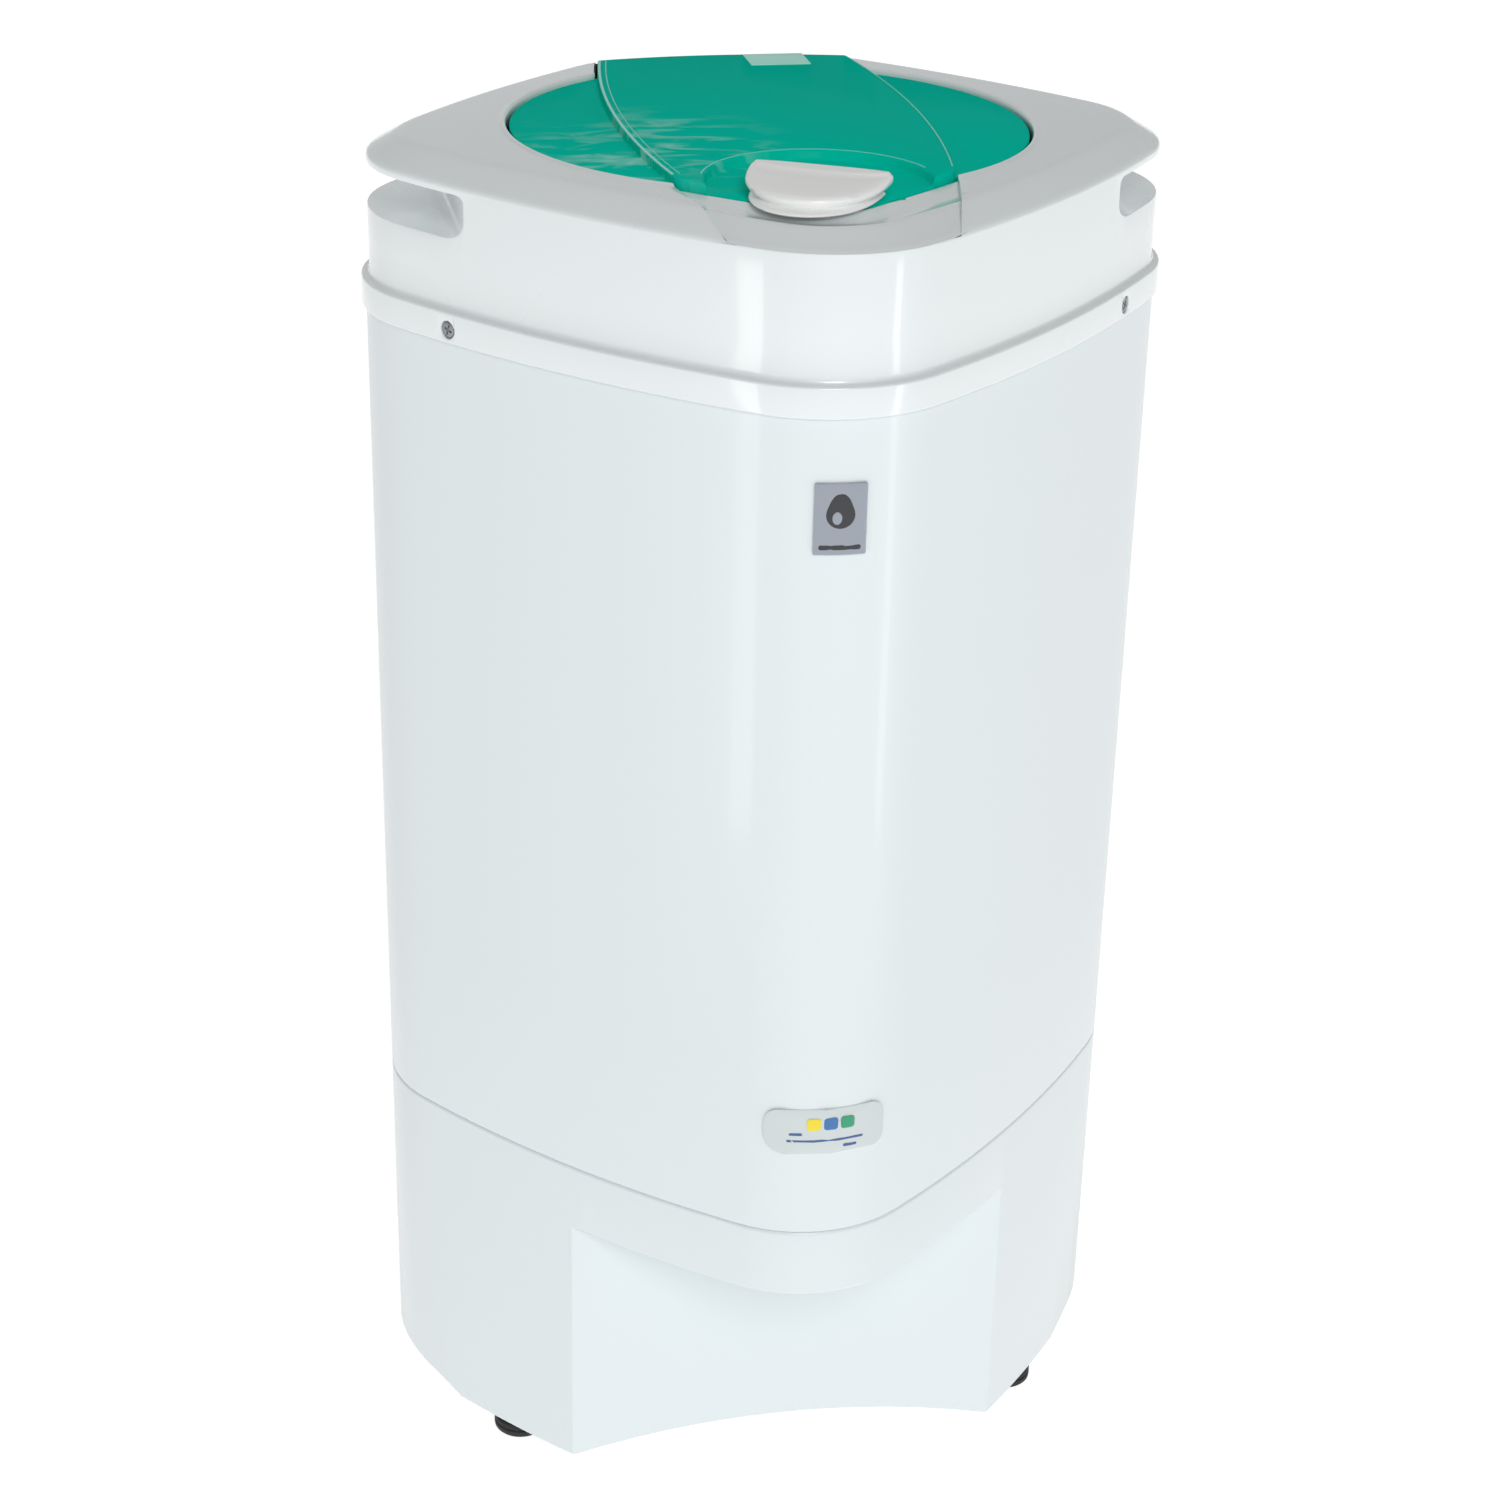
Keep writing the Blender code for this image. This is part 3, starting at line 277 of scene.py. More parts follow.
# ---- materials -----------------------------------------------------------------------------------
def plastic(name, colour, rough=0.3, coat=0.0, grain=900.0, depth=0.02, mottle=0.03, **sockets):
    """Moulded plastic: faint colour clouds, fine grain in the relief, and roughness that wanders a little."""
    mat = bpy.data.materials.new(name)
    mat.use_nodes = True
    tree = mat.node_tree
    shader = tree.nodes["Principled BSDF"]
    place = tree.nodes.new("ShaderNodeTexCoord")
    cloud = tree.nodes.new("ShaderNodeTexNoise")
    cloud.inputs["Scale"].default_value = 3.5
    cloud.inputs["Detail"].default_value = 1.5
    tree.links.new(place.outputs["Object"], cloud.inputs["Vector"])
    ramp = tree.nodes.new("ShaderNodeValToRGB")
    ramp.color_ramp.elements[0].position = 0.15
    ramp.color_ramp.elements[1].position = 0.85
    ramp.color_ramp.elements[0].color = [c * (1 - mottle) for c in colour] + [1]
    ramp.color_ramp.elements[1].color = [min(1, c * (1 + mottle)) for c in colour] + [1]
    tree.links.new(cloud.outputs["Fac"], ramp.inputs["Fac"])
    tree.links.new(ramp.outputs["Color"], shader.inputs["Base Color"])
    fine = tree.nodes.new("ShaderNodeTexNoise")
    fine.inputs["Scale"].default_value = grain
    fine.inputs["Detail"].default_value = 3.0
    tree.links.new(place.outputs["Object"], fine.inputs["Vector"])
    span = tree.nodes.new("ShaderNodeMapRange")
    span.inputs["To Min"].default_value = rough * 0.82
    span.inputs["To Max"].default_value = rough * 1.22
    tree.links.new(cloud.outputs["Fac"], span.inputs["Value"])
    tree.links.new(span.outputs["Result"], shader.inputs["Roughness"])
    bump = tree.nodes.new("ShaderNodeBump")
    bump.inputs["Strength"].default_value = depth
    bump.inputs["Distance"].default_value = 0.001
    tree.links.new(fine.outputs["Fac"], bump.inputs["Height"])
    tree.links.new(bump.outputs["Normal"], shader.inputs["Normal"])
    shader.inputs["Coat Weight"].default_value = coat
    shader.inputs["Coat Roughness"].default_value = 0.08
    for socket, value in sockets.items():
        shader.inputs[socket.replace("_", " ")].default_value = value
    return mat


def painted_lid_glare(mat):
    """Painted glare: pale streaks of painted reflection mixed into the lid's colour in its left half, in
    place of the sheen of light on its polish.
    """
    tree = mat.node_tree
    shader = tree.nodes["Principled BSDF"]
    under = shader.inputs["Base Color"].links[0].from_socket
    place = tree.nodes.new("ShaderNodeTexCoord")
    squeeze = tree.nodes.new("ShaderNodeMapping")
    squeeze.inputs["Rotation"].default_value = (0, 0, 0.9)
    squeeze.inputs["Scale"].default_value = (26, 62, 40)
    tree.links.new(place.outputs["Object"], squeeze.inputs["Vector"])
    glare_streak = tree.nodes.new("ShaderNodeTexNoise")
    glare_streak.inputs["Scale"].default_value = 1.6
    glare_streak.inputs["Detail"].default_value = 5.0
    glare_streak.inputs["Distortion"].default_value = 0.8
    tree.links.new(squeeze.outputs["Vector"], glare_streak.inputs["Vector"])
    cut = tree.nodes.new("ShaderNodeMapRange")
    cut.inputs["From Min"].default_value = 0.48
    cut.inputs["From Max"].default_value = 0.72
    tree.links.new(glare_streak.outputs["Fac"], cut.inputs["Value"])
    far = tree.nodes.new("ShaderNodeVectorMath")
    far.operation = "DISTANCE"
    far.inputs[1].default_value = (-0.064, -0.042, LID_TOP)
    tree.links.new(place.outputs["Object"], far.inputs[0])
    reach = tree.nodes.new("ShaderNodeMapRange")
    reach.interpolation_type = "SMOOTHSTEP"
    reach.inputs["From Min"].default_value = 0.074
    reach.inputs["From Max"].default_value = 0.010
    reach.inputs["To Max"].default_value = 0.52
    tree.links.new(far.outputs["Value"], reach.inputs["Value"])
    glare_mask = tree.nodes.new("ShaderNodeMath")
    glare_mask.operation = "MULTIPLY"
    tree.links.new(cut.outputs["Result"], glare_mask.inputs[0])
    tree.links.new(reach.outputs["Result"], glare_mask.inputs[1])
    # Mixes the painted highlight colour of the glare into the lid's base colour.
    blend = tree.nodes.new("ShaderNodeMix")
    blend.data_type = "RGBA"
    blend.inputs["B"].default_value = (0.60, 0.90, 0.84, 1)
    tree.links.new(glare_mask.outputs[0], blend.inputs["Factor"])
    tree.links.new(under, blend.inputs["A"])
    tree.links.new(blend.outputs["Result"], shader.inputs["Base Color"])


def brushed(name, colour, rough=0.3, stretch=(1, 1, 60), depth=0.08):
    """Metal with fine lines along one direction and slow changes of shine."""
    mat = bpy.data.materials.new(name)
    mat.use_nodes = True
    tree = mat.node_tree
    shader = tree.nodes["Principled BSDF"]
    shader.inputs["Metallic"].default_value = 1.0
    place = tree.nodes.new("ShaderNodeTexCoord")
    squeeze = tree.nodes.new("ShaderNodeMapping")
    squeeze.inputs["Scale"].default_value = stretch
    tree.links.new(place.outputs["Object"], squeeze.inputs["Vector"])
    lines = tree.nodes.new("ShaderNodeTexNoise")
    lines.inputs["Scale"].default_value = 30.0
    lines.inputs["Detail"].default_value = 6.0
    tree.links.new(squeeze.outputs["Vector"], lines.inputs["Vector"])
    ramp = tree.nodes.new("ShaderNodeValToRGB")
    ramp.color_ramp.elements[0].position = 0.25
    ramp.color_ramp.elements[1].position = 0.75
    ramp.color_ramp.elements[0].color = [c * 0.88 for c in colour] + [1]
    ramp.color_ramp.elements[1].color = [min(1, c * 1.08) for c in colour] + [1]
    tree.links.new(lines.outputs["Fac"], ramp.inputs["Fac"])
    tree.links.new(ramp.outputs["Color"], shader.inputs["Base Color"])
    span = tree.nodes.new("ShaderNodeMapRange")
    span.inputs["To Min"].default_value = rough * 0.8
    span.inputs["To Max"].default_value = rough * 1.3
    tree.links.new(lines.outputs["Fac"], span.inputs["Value"])
    tree.links.new(span.outputs["Result"], shader.inputs["Roughness"])
    bump = tree.nodes.new("ShaderNodeBump")
    bump.inputs["Strength"].default_value = depth
    bump.inputs["Distance"].default_value = 0.0005
    tree.links.new(lines.outputs["Fac"], bump.inputs["Height"])
    tree.links.new(bump.outputs["Normal"], shader.inputs["Normal"])
    return mat


WHITE = plastic("white_moulding", (0.735, 0.798, 0.815), rough=0.30, coat=0.3, grain=1400, depth=0.012,
                mottle=0.002)
COVER = plastic("cover_moulding", (0.780, 0.828, 0.838), rough=0.26, coat=0.9, grain=1400, depth=0.010,
                mottle=0.002)
KNOB = plastic("knob_moulding", (0.955, 0.970, 0.960), rough=0.22, coat=0.5, grain=1500, depth=0.008,
               mottle=0.006)
LID = plastic("emerald_moulding", (0.0, 0.585, 0.435), rough=0.10, coat=0.02, grain=26, depth=0.05,
              mottle=0.05, Specular_IOR_Level=0.0)
# The lid's colour carries painted glare streaks, a painted reflection in its left half.
painted_lid_glare(LID)
# Pale materials for the painted glints: highlights painted as thin ribbons on the lid's edges.
PAINTED_GLINT = plastic("painted_glint_bright", (0.24, 0.82, 0.68), rough=0.2, mottle=0.25)
PAINTED_GLINT_SOFT = plastic("painted_glint_soft", (0.04, 0.70, 0.54), rough=0.2, mottle=0.2)
PALE_PAD = plastic("pale_pad", (0.40, 0.92, 0.76), rough=0.3, mottle=0.03)
RUBBER = plastic("foot_rubber", (0.012, 0.012, 0.013), rough=0.62, grain=500, depth=0.12, mottle=0.25)
SEAL_RUBBER = plastic("seal_rubber", (0.16, 0.17, 0.175), rough=0.6, grain=500, depth=0.1, mottle=0.1)
BLACK = plastic("black_plastic", (0.018, 0.018, 0.021), rough=0.42, grain=700, depth=0.06, mottle=0.12)
TUB = plastic("tub_plastic", (0.56, 0.61, 0.64), rough=0.38, grain=800, depth=0.03, mottle=0.02)
SILVER = plastic("badge_silver", (0.30, 0.33, 0.38), rough=0.28, coat=0.6, grain=600, depth=0.02, mottle=0.04,
                 Metallic=0.35)
PALE = plastic("badge_pale", (0.60, 0.66, 0.665), rough=0.2, coat=0.8, grain=900, depth=0.01, mottle=0.015)
INK = plastic("badge_ink", (0.012, 0.014, 0.020), rough=0.3, coat=0.5, mottle=0.1)
INK_BLUE = plastic("badge_ink_blue", (0.045, 0.10, 0.30), rough=0.3, coat=0.5, mottle=0.1)
SPOT_YELLOW = plastic("badge_yellow", (0.86, 0.70, 0.02), rough=0.3, coat=0.5, mottle=0.04)
SPOT_BLUE = plastic("badge_blue", (0.03, 0.16, 0.43), rough=0.3, coat=0.5, mottle=0.04)
SPOT_GREEN = plastic("badge_green", (0.01, 0.32, 0.16), rough=0.3, coat=0.5, mottle=0.04)
LINING = plastic("brake_lining", (0.10, 0.07, 0.05), rough=0.85, grain=300, depth=0.3, mottle=0.3)
STAINLESS = brushed("stainless", (0.60, 0.60, 0.59), rough=0.24)
ZINC = brushed("zinc_steel", (0.50, 0.51, 0.53), rough=0.36, stretch=(3, 3, 3), depth=0.05)
SPRING = brushed("spring_steel", (0.30, 0.31, 0.33), rough=0.3, stretch=(4, 4, 4))
ALUMINIUM = brushed("cast_aluminium", (0.70, 0.71, 0.72), rough=0.4, stretch=(8, 8, 8), depth=0.1)
COPPER = brushed("winding_copper", (0.62, 0.26, 0.10), rough=0.38, stretch=(1, 1, 40), depth=0.3)
LAMINATION = brushed("lamination_steel", (0.17, 0.17, 0.18), rough=0.5, stretch=(0.2, 0.2, 60), depth=0.35)
ENAMEL = plastic("motor_enamel", (0.10, 0.115, 0.13), rough=0.4, coat=0.2, grain=300, depth=0.08, mottle=0.08)

SLOT_MATERIALS = {
    "white_gloss": WHITE, "white_knob": KNOB, "emerald_clear": LID, "black_rubber": RUBBER,
    "grey_rubber": SEAL_RUBBER, "stainless": STAINLESS, "zinc_steel": ZINC, "spring_steel": SPRING,
    "aluminium": ALUMINIUM, "copper": COPPER, "lamination": LAMINATION, "painted_grey": ENAMEL,
    "tub_plastic": TUB, "black_plastic": BLACK, "brake_lining": LINING, "badge_silver": SILVER,
    "badge_pale": PALE}
NODE_SLOT = {row["node"]: row["material_slot"] for row in frame["record"]["subparts"]}
for node, obj in frame["nodes"].items():
    for place in obj.material_slots:
        place.material = SLOT_MATERIALS[NODE_SLOT[node]]


def stand_for(piece, body, slot, *nodes):
    if nodes:
        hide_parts(*nodes)
    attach(piece, body)
    return piece


# ---- cabinet -------------------------------------------------------------------------------------
def round_out(inset, z, radius, start, end, steps=4):
    """Part of a rounding about (inset, z), from angle start to end in degrees; inset grows inwards."""
    angles = [math.radians(start + (end - start) * k / steps) for k in range(steps + 1)]
    return [(inset - radius * math.cos(angle), z + radius * math.sin(angle)) for angle in angles]


def casing():
    low, high = Z_SEAM + 0.0003, 0.5412
    profile = round_out(0.0008, low + 0.0008, 0.0008, -90, 0) + [(0, 0.25), (0, 0.35), (0, 0.45), (0, high),
                                                                 (0.0025, high), (0.0025, low)]
    skin = shell("casing_shell", HALF_FLAT, profile, WHITE)
    return stand_for(skin, "cabinet", "white_gloss", "body_casing")


def base():
    profile = [(0, Z_BASE), (0, Z_SEAM - 0.0018)] + round_out(0.0015, Z_SEAM - 0.0015, 0.0015, 0, 90)
    housing = loft("base_shell", [(outline(HALF_FLAT, inset), z) for inset, z in profile], WHITE)
    hollow = prism("cut_hollow", HALF_FLAT, 0.003, Z_BASE - 0.02, Z_SEAM + 0.02)
    for sign, side in ((-1, "front"), (1, "rear")):
        near, far = sorted((sign * FACET_Y, sign * 0.25))
        combine(housing, box(f"cut_facet_{side}", (-0.2, near, -0.05), (0.2, far, FACET_TOP)))
        near, far = sorted((sign * (FACET_Y - 0.003), sign * 0.26))
        combine(hollow, box(f"cut_backing_{side}", (-0.21, near, -0.06), (0.21, far, FACET_TOP + 0.003)))
    combine(housing, hollow)
    combine(housing, extruded("cut_arches", arch(0.097, 0.012, Z_BASE), "Y", -0.2, 0.2))
    combine(housing, extruded("cut_side_arches", arch(0.050, 0.013, Z_BASE), "X", -0.2, 0.2))
    combine(housing, rod("cut_spout", [(0.010, -0.02), (0.010, 0.02)], axis=(0, 1, 0), at=SPOUT))
    combine(housing, rod("cut_gland", [(0.0073, -0.02), (0.0073, 0.02)], axis=(0, 1, 0), at=GLAND))
    settle(housing, bevel=0.0015, angle=50, segments=3)
    return stand_for(housing, "cabinet", "white_gloss", "base_housing")


SCREWS = ((-1, -1, "front_left"), (1, -1, "front_right"), (-1, 1, "rear_left"), (1, 1, "rear_right"))


def cover():
    """Skirt, collar and deck as one lofted skin, then the mouth, lid channel and handle recesses."""
    deep = 0.5927
    outer = [(-0.0003, Z_SKIRT)] + round_out(-0.0010, Z_SKIRT + 0.0008, 0.0008, -90, 0)
    outer += round_out(-0.0008, 0.5438, 0.0010, 0, 90)
    outer += [(0.0002, 0.5450), (0.0009, 0.5454), (0.0013, 0.5461), (COLLAR_INSET, 0.5472),
              (COLLAR_INSET, 0.560), (COLLAR_INSET, 0.5940), (0.0018, 0.5949), (0.0025, 0.5957),
              (0.0038, 0.5966), (0.0115, 0.6010),
              (0.0132, 0.6020), (0.0148, 0.6028), (0.0165, 0.60332), (0.0185, Z_DECK)]
    rings = [(outline(HALF_FLAT, inset), z) for inset, z in outer]
    mouth = [(0.0040, Z_DECK), (0.0031, 0.60355), (0.0026, 0.6038), (0.0021, 0.6042), (0.0015, 0.6044),
             (0.0009, 0.6042), (0.0004, 0.6037), (0.0001, 0.6029), (0, 0.6020), (0, deep)]
    rings += [(circle(OPENING_R + lip), z) for lip, z in mouth]
    rings += [(outline(HALF_FLAT, inset), z) for inset, z in
              ((COLLAR_INSET + 0.0025, deep), (COLLAR_INSET + 0.0025, 0.5415), (-0.0003, 0.5415))]
    shell_cover = loft("cover_shell", rings, COVER, tube=True)
    blocks = prism("part_blocks", HALF_FLAT, COLLAR_INSET + 0.001, POCKET_Z[0] - 0.0025, deep + 0.002)
    combine(blocks, box("cut_blocks", (0.0025 - POCKET_X, -0.2, 0.55),
                        (POCKET_X - 0.0025, REAR_Y - 0.0025, 0.62)))
    combine(shell_cover, blocks, "UNION")
    combine(shell_cover, box("cut_hinge_bay", (-0.1, REAR_Y, BAY_Z), (0.1, 0.2, 0.62)))
    middle_z, half_z = sum(POCKET_Z) / 2, (POCKET_Z[1] - POCKET_Z[0]) / 2
    for sign, side, radii in ((-1, "left", (0.003, 0, 0, 0.0075)), (1, "right", (0, 0.003, 0.0075, 0))):
        shape = rounded_rectangle(sign * (POCKET_X + 0.04), middle_z, 0.04, half_z, radii)
        combine(shell_cover, extruded(f"cut_pocket_{side}", shape, "Y", -0.1, 0.1))
    channel = extruded("cut_channel", band(BAND_GAP, -0.2, 0.2), "Z", Z_CHANNEL, 0.62)
    rim = shell("cut_rim", HALF_FLAT, [(0.0, 0.585), (0.0, 0.5930), (0.0016, 0.5945),
                                       (0.0026, 0.5953), (0.005, 0.5960), (0.010, 0.5975),
                                       (0.015, 0.5996), (0.0172, 0.6004), (0.0186, Z_RIM),
                                       (0.0200, 0.6006), (0.0225, 0.6001), (0.0260, 0.6002), (0.0300, 0.6009),
                                       (0.0332, 0.6018), (0.0346, 0.6019), (0.0351, 0.6012), (0.0351, 0.585)])
    combine(rim, box("cut_rim_rear", (-0.2, -0.06, 0.55), (0.2, 0.2, 0.65)))
    combine(channel, rim)
    combine(shell_cover, channel)
    combine(shell_cover, box("cut_latch_notch", (-0.030, -0.1190, 0.585), (0.030, -0.090, 0.62)))
    for x_sign, y_sign, corner in SCREWS:
        place, outward = flank(x_sign, y_sign, SCREW_ACROSS)
        combine(shell_cover, rod(f"cut_skirt_{corner}", [(0.0037, -0.012), (0.0037, 0.012)], 32, axis=outward,
                                 at=place + Vector((0, 0, SCREW_Z))))
    settle(shell_cover, bevel=0.0005, angle=40, segments=2)
    return stand_for(shell_cover, "cabinet", "white_gloss", "top_cover")


def cover_screws():
    """Pan-head screws with a cross recess, each in its counterbore."""
    for x_sign, y_sign, corner in SCREWS:
        place, outward = flank(x_sign, y_sign, SCREW_ACROSS)
        at = place + Vector((0, 0, SCREW_Z)) + outward * 0.0004
        # The heads use the darker spring steel in place of zinc: painted shade of their counterbores.
        head = rod(f"screw_{corner}", [(0.0019, -0.008), (0.0019, 0), (0.0033, 0), (0.0033, 0.0004),
                                       (0.0031, 0.0007), (0.0024, 0.0009)], 24, SPRING)
        for turn in (0, 90):
            slot = box(f"cut_slot_{corner}_{turn}", (-0.0021, -0.00042, 0.0003), (0.0021, 0.00042, 0.002))
            slot.rotation_euler = (0, 0, math.radians(turn + 20))
            combine(head, slot)
        settle(head, bevel=0.00008, segments=1)
        head.rotation_euler = Vector((0, 0, 1)).rotation_difference(outward).to_euler()
        head.location = at
        stand_for(head, "cabinet", "zinc_steel", f"cover_screw_{corner}")


def feet():
    """Moulded rubber feet with a grooved side and a dished underside."""
    profile = [(0.0080, 0.0012), (0.0088, 0.0004), (0.0105, 0.0), (0.0115, 0.0003), (0.0123, 0.0012),
               (0.0125, 0.0022),
               (0.0125, 0.0036), (0.0120, 0.0040), (0.0120, 0.0046), (0.0125, 0.0050), (0.0125, 0.0066),
               (0.0121, 0.0073), (0.0100, 0.0082), (0.0085, 0.0086), (0.0085, 0.0355)]
    for name in ("front_left", "front_right", "rear_left", "rear_right"):
        node = f"foot_{name}"
        low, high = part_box(node)
        middle = ((low[0] + high[0]) / 2, (low[1] + high[1]) / 2, 0)
        stand_for(rod(f"pad_{name}", profile, 48, RUBBER, at=middle), "cabinet", "black_rubber", node)


# ---- badges --------------------------------------------------------------------------------------
def wrap_front(points, lift):
    """Points in the XZ plane laid on the front corner, lifted outwards."""
    radius = HALF_FLAT * CORNER_SHARE + lift
    turned_points = []
    for x, z in points:
        angle = x / (HALF_FLAT * CORNER_SHARE)
        turned_points.append((radius * math.sin(angle), -CORNER_REACH - radius * math.cos(angle), z))
    return turned_points


def decal(name, points, low, high, mat, node=None, slot="badge_silver"):
    """A thin plate that follows the front corner, with a rounded upper edge; its outline is in XZ."""
    cx = sum(p[0] for p in points) / len(points)
    cz = sum(p[1] for p in points) / len(points)
    bm = bmesh.new()
    levels = [(1.0, low), (1.0, high - 0.00012), (0.985, high - 0.00004), (0.96, high), (0.6, high),
              (0.25, high)]
    rings = []
    for scale, lift in levels:
        ring_points = [(cx + (x - cx) * scale, cz + (z - cz) * scale) for x, z in points]
        rings.append([bm.verts.new(p) for p in wrap_front(ring_points, lift)])
    for a, b in zip(rings, rings[1:]):
        for k in range(len(a)):
            n = (k + 1) % len(a)
            bm.faces.new((a[k], a[n], b[n], b[k]))
    centre = bm.verts.new(wrap_front([(cx, cz)], high)[0])
    for k in range(len(rings[-1])):
        bm.faces.new((rings[-1][k], rings[-1][(k + 1) % len(rings[-1])], centre))
    inner = [(cx + (x - cx) * 0.5, cz + (z - cz) * 0.5) for x, z in points]
    under = [bm.verts.new(p) for p in wrap_front(inner, low)]
    back = bm.verts.new(wrap_front([(cx, cz)], low)[0])
    for k in range(len(points)):
        n = (k + 1) % len(points)
        bm.faces.new((rings[0][k], rings[0][n], under[n], under[k]))
        bm.faces.new((under[k], under[n], back))
    piece = finish_mesh(name, bm, mat, smooth=50)
    return stand_for(piece, "cabinet", slot, *((node,) if node else ()))


def dense(points, pieces=5):
    """The same outline with each edge cut into shorter ones, so that it can bend round the corner."""
    made = []
    for (xa, za), (xb, zb) in zip(points, points[1:] + points[:1]):
        made += [(xa + (xb - xa) * k / pieces, za + (zb - za) * k / pieces) for k in range(pieces)]
    return made


def badges():
    plate = rounded_rectangle(-0.003, 0.492, 0.0102, 0.0145, [0.0006] * 4, 3)
    decal("badge_upper_plate", dense(plate, 4), 0.0003, 0.0011, SILVER, "badge_upper")
    drop = []
    for step in range(36):
        angle = 2 * math.pi * step / 36
        radius = 0.0056 * (1 + 0.55 * max(0, math.cos(angle)) ** 5)
        drop.append((-0.003 + radius * math.sin(angle), 0.4938 + radius * math.cos(angle)))
    decal("badge_upper_drop", drop, 0.0010, 0.00118, INK)
    decal("badge_upper_bar", dense(rounded_rectangle(-0.003, 0.4805, 0.0082, 0.0010, [0.0009] * 4, 3), 2),
          0.0010, 0.00116, INK)
    shine = [(-0.0036 + 0.0019 * math.cos(a) - 0.0007, 0.4925 + 0.0026 * math.sin(a))
             for a in (2 * math.pi * k / 20 for k in range(20))]
    decal("badge_upper_glint", shine, 0.00112, 0.00122, SILVER)
    bean = rounded_rectangle(0.0, 0.2175, 0.0265, 0.0108, (0.0070, 0.0070, 0.0100, 0.0055), 8)
    decal("badge_lower_plate", dense(bean, 2), 0.0003, 0.0011, PALE, "badge_lower", "badge_pale")
    for x, mat, colour in ((-0.0052, SPOT_YELLOW, "yellow"), (0.0020, SPOT_BLUE, "blue"),
                           (0.0092, SPOT_GREEN, "green")):
        spot = rounded_rectangle(x, 0.2213, 0.0030, 0.0029, [0.0014] * 4, 5)
        decal(f"badge_spot_{colour}", spot, 0.0010, 0.00116, mat, slot="badge_pale")
    for x, z, half in ((-0.0128, 0.2166, 0.0028), (0.0000, 0.2133, 0.0165), (0.0105, 0.2100, 0.0030)):
        bar = dense(rounded_rectangle(x, z, half, 0.0006, [0.0005] * 4, 2), 3)
        decal(f"badge_line_{round(z * 10000)}", bar, 0.0010, 0.00114, INK_BLUE, slot="badge_pale")


# ---- lid -----------------------------------------------------------------------------------------
def clip_front(obj, name, inset):
    keep = prism(f"cut_{name}_keep", HALF_FLAT, inset, 0.55, 0.65)
    combine(keep, box(f"part_{name}_rear", (-0.15, 0.0, 0.551), (0.15, 0.2, 0.649)), "UNION")
    return combine(obj, keep, "INTERSECT")


def painted_lid_glints():
    """Painted glints: hair-fine pale ribbons along the band's sides and behind the knob's well, standing in
    for the highlights on those edges.
    """
    low, high = LID_TOP - 0.0002, LID_TOP + 0.0002
    for name, sign, start, width, mat in (("left_outer", -1, 0.0003, 0.0011, PAINTED_GLINT),
                                          ("left_inner", -1, 0.0034, 0.0005, PAINTED_GLINT_SOFT),
                                          ("right_outer", 1, 0.0004, 0.0006, PAINTED_GLINT_SOFT)):
        near, far = ([(sign * x, y) for x, y in band(-inset, -0.088, 0.108) if x > 0]
                     for inset in (start, start + width))
        ribbon = extruded(f"lid_painted_glint_{name}", near + far[::-1], "Z", low, high, mat)
        stand_for(ribbon, "lid", "emerald_clear")
    # The pale arc behind the knob's well is a painted glint too.
    arc = []
    for radius, degrees in ((WELL_R + 0.0016, range(16, 165, 4)), (WELL_R + 0.0009, range(164, 15, -4))):
        arc += [(WELL_CENTRE[0] + radius * math.cos(angle), WELL_CENTRE[1] + radius * math.sin(angle))
                for angle in map(math.radians, degrees)]
    ribbon = extruded("lid_painted_glint_well", arc, "Z", low, high, PAINTED_GLINT_SOFT)
    stand_for(ribbon, "lid", "emerald_clear")


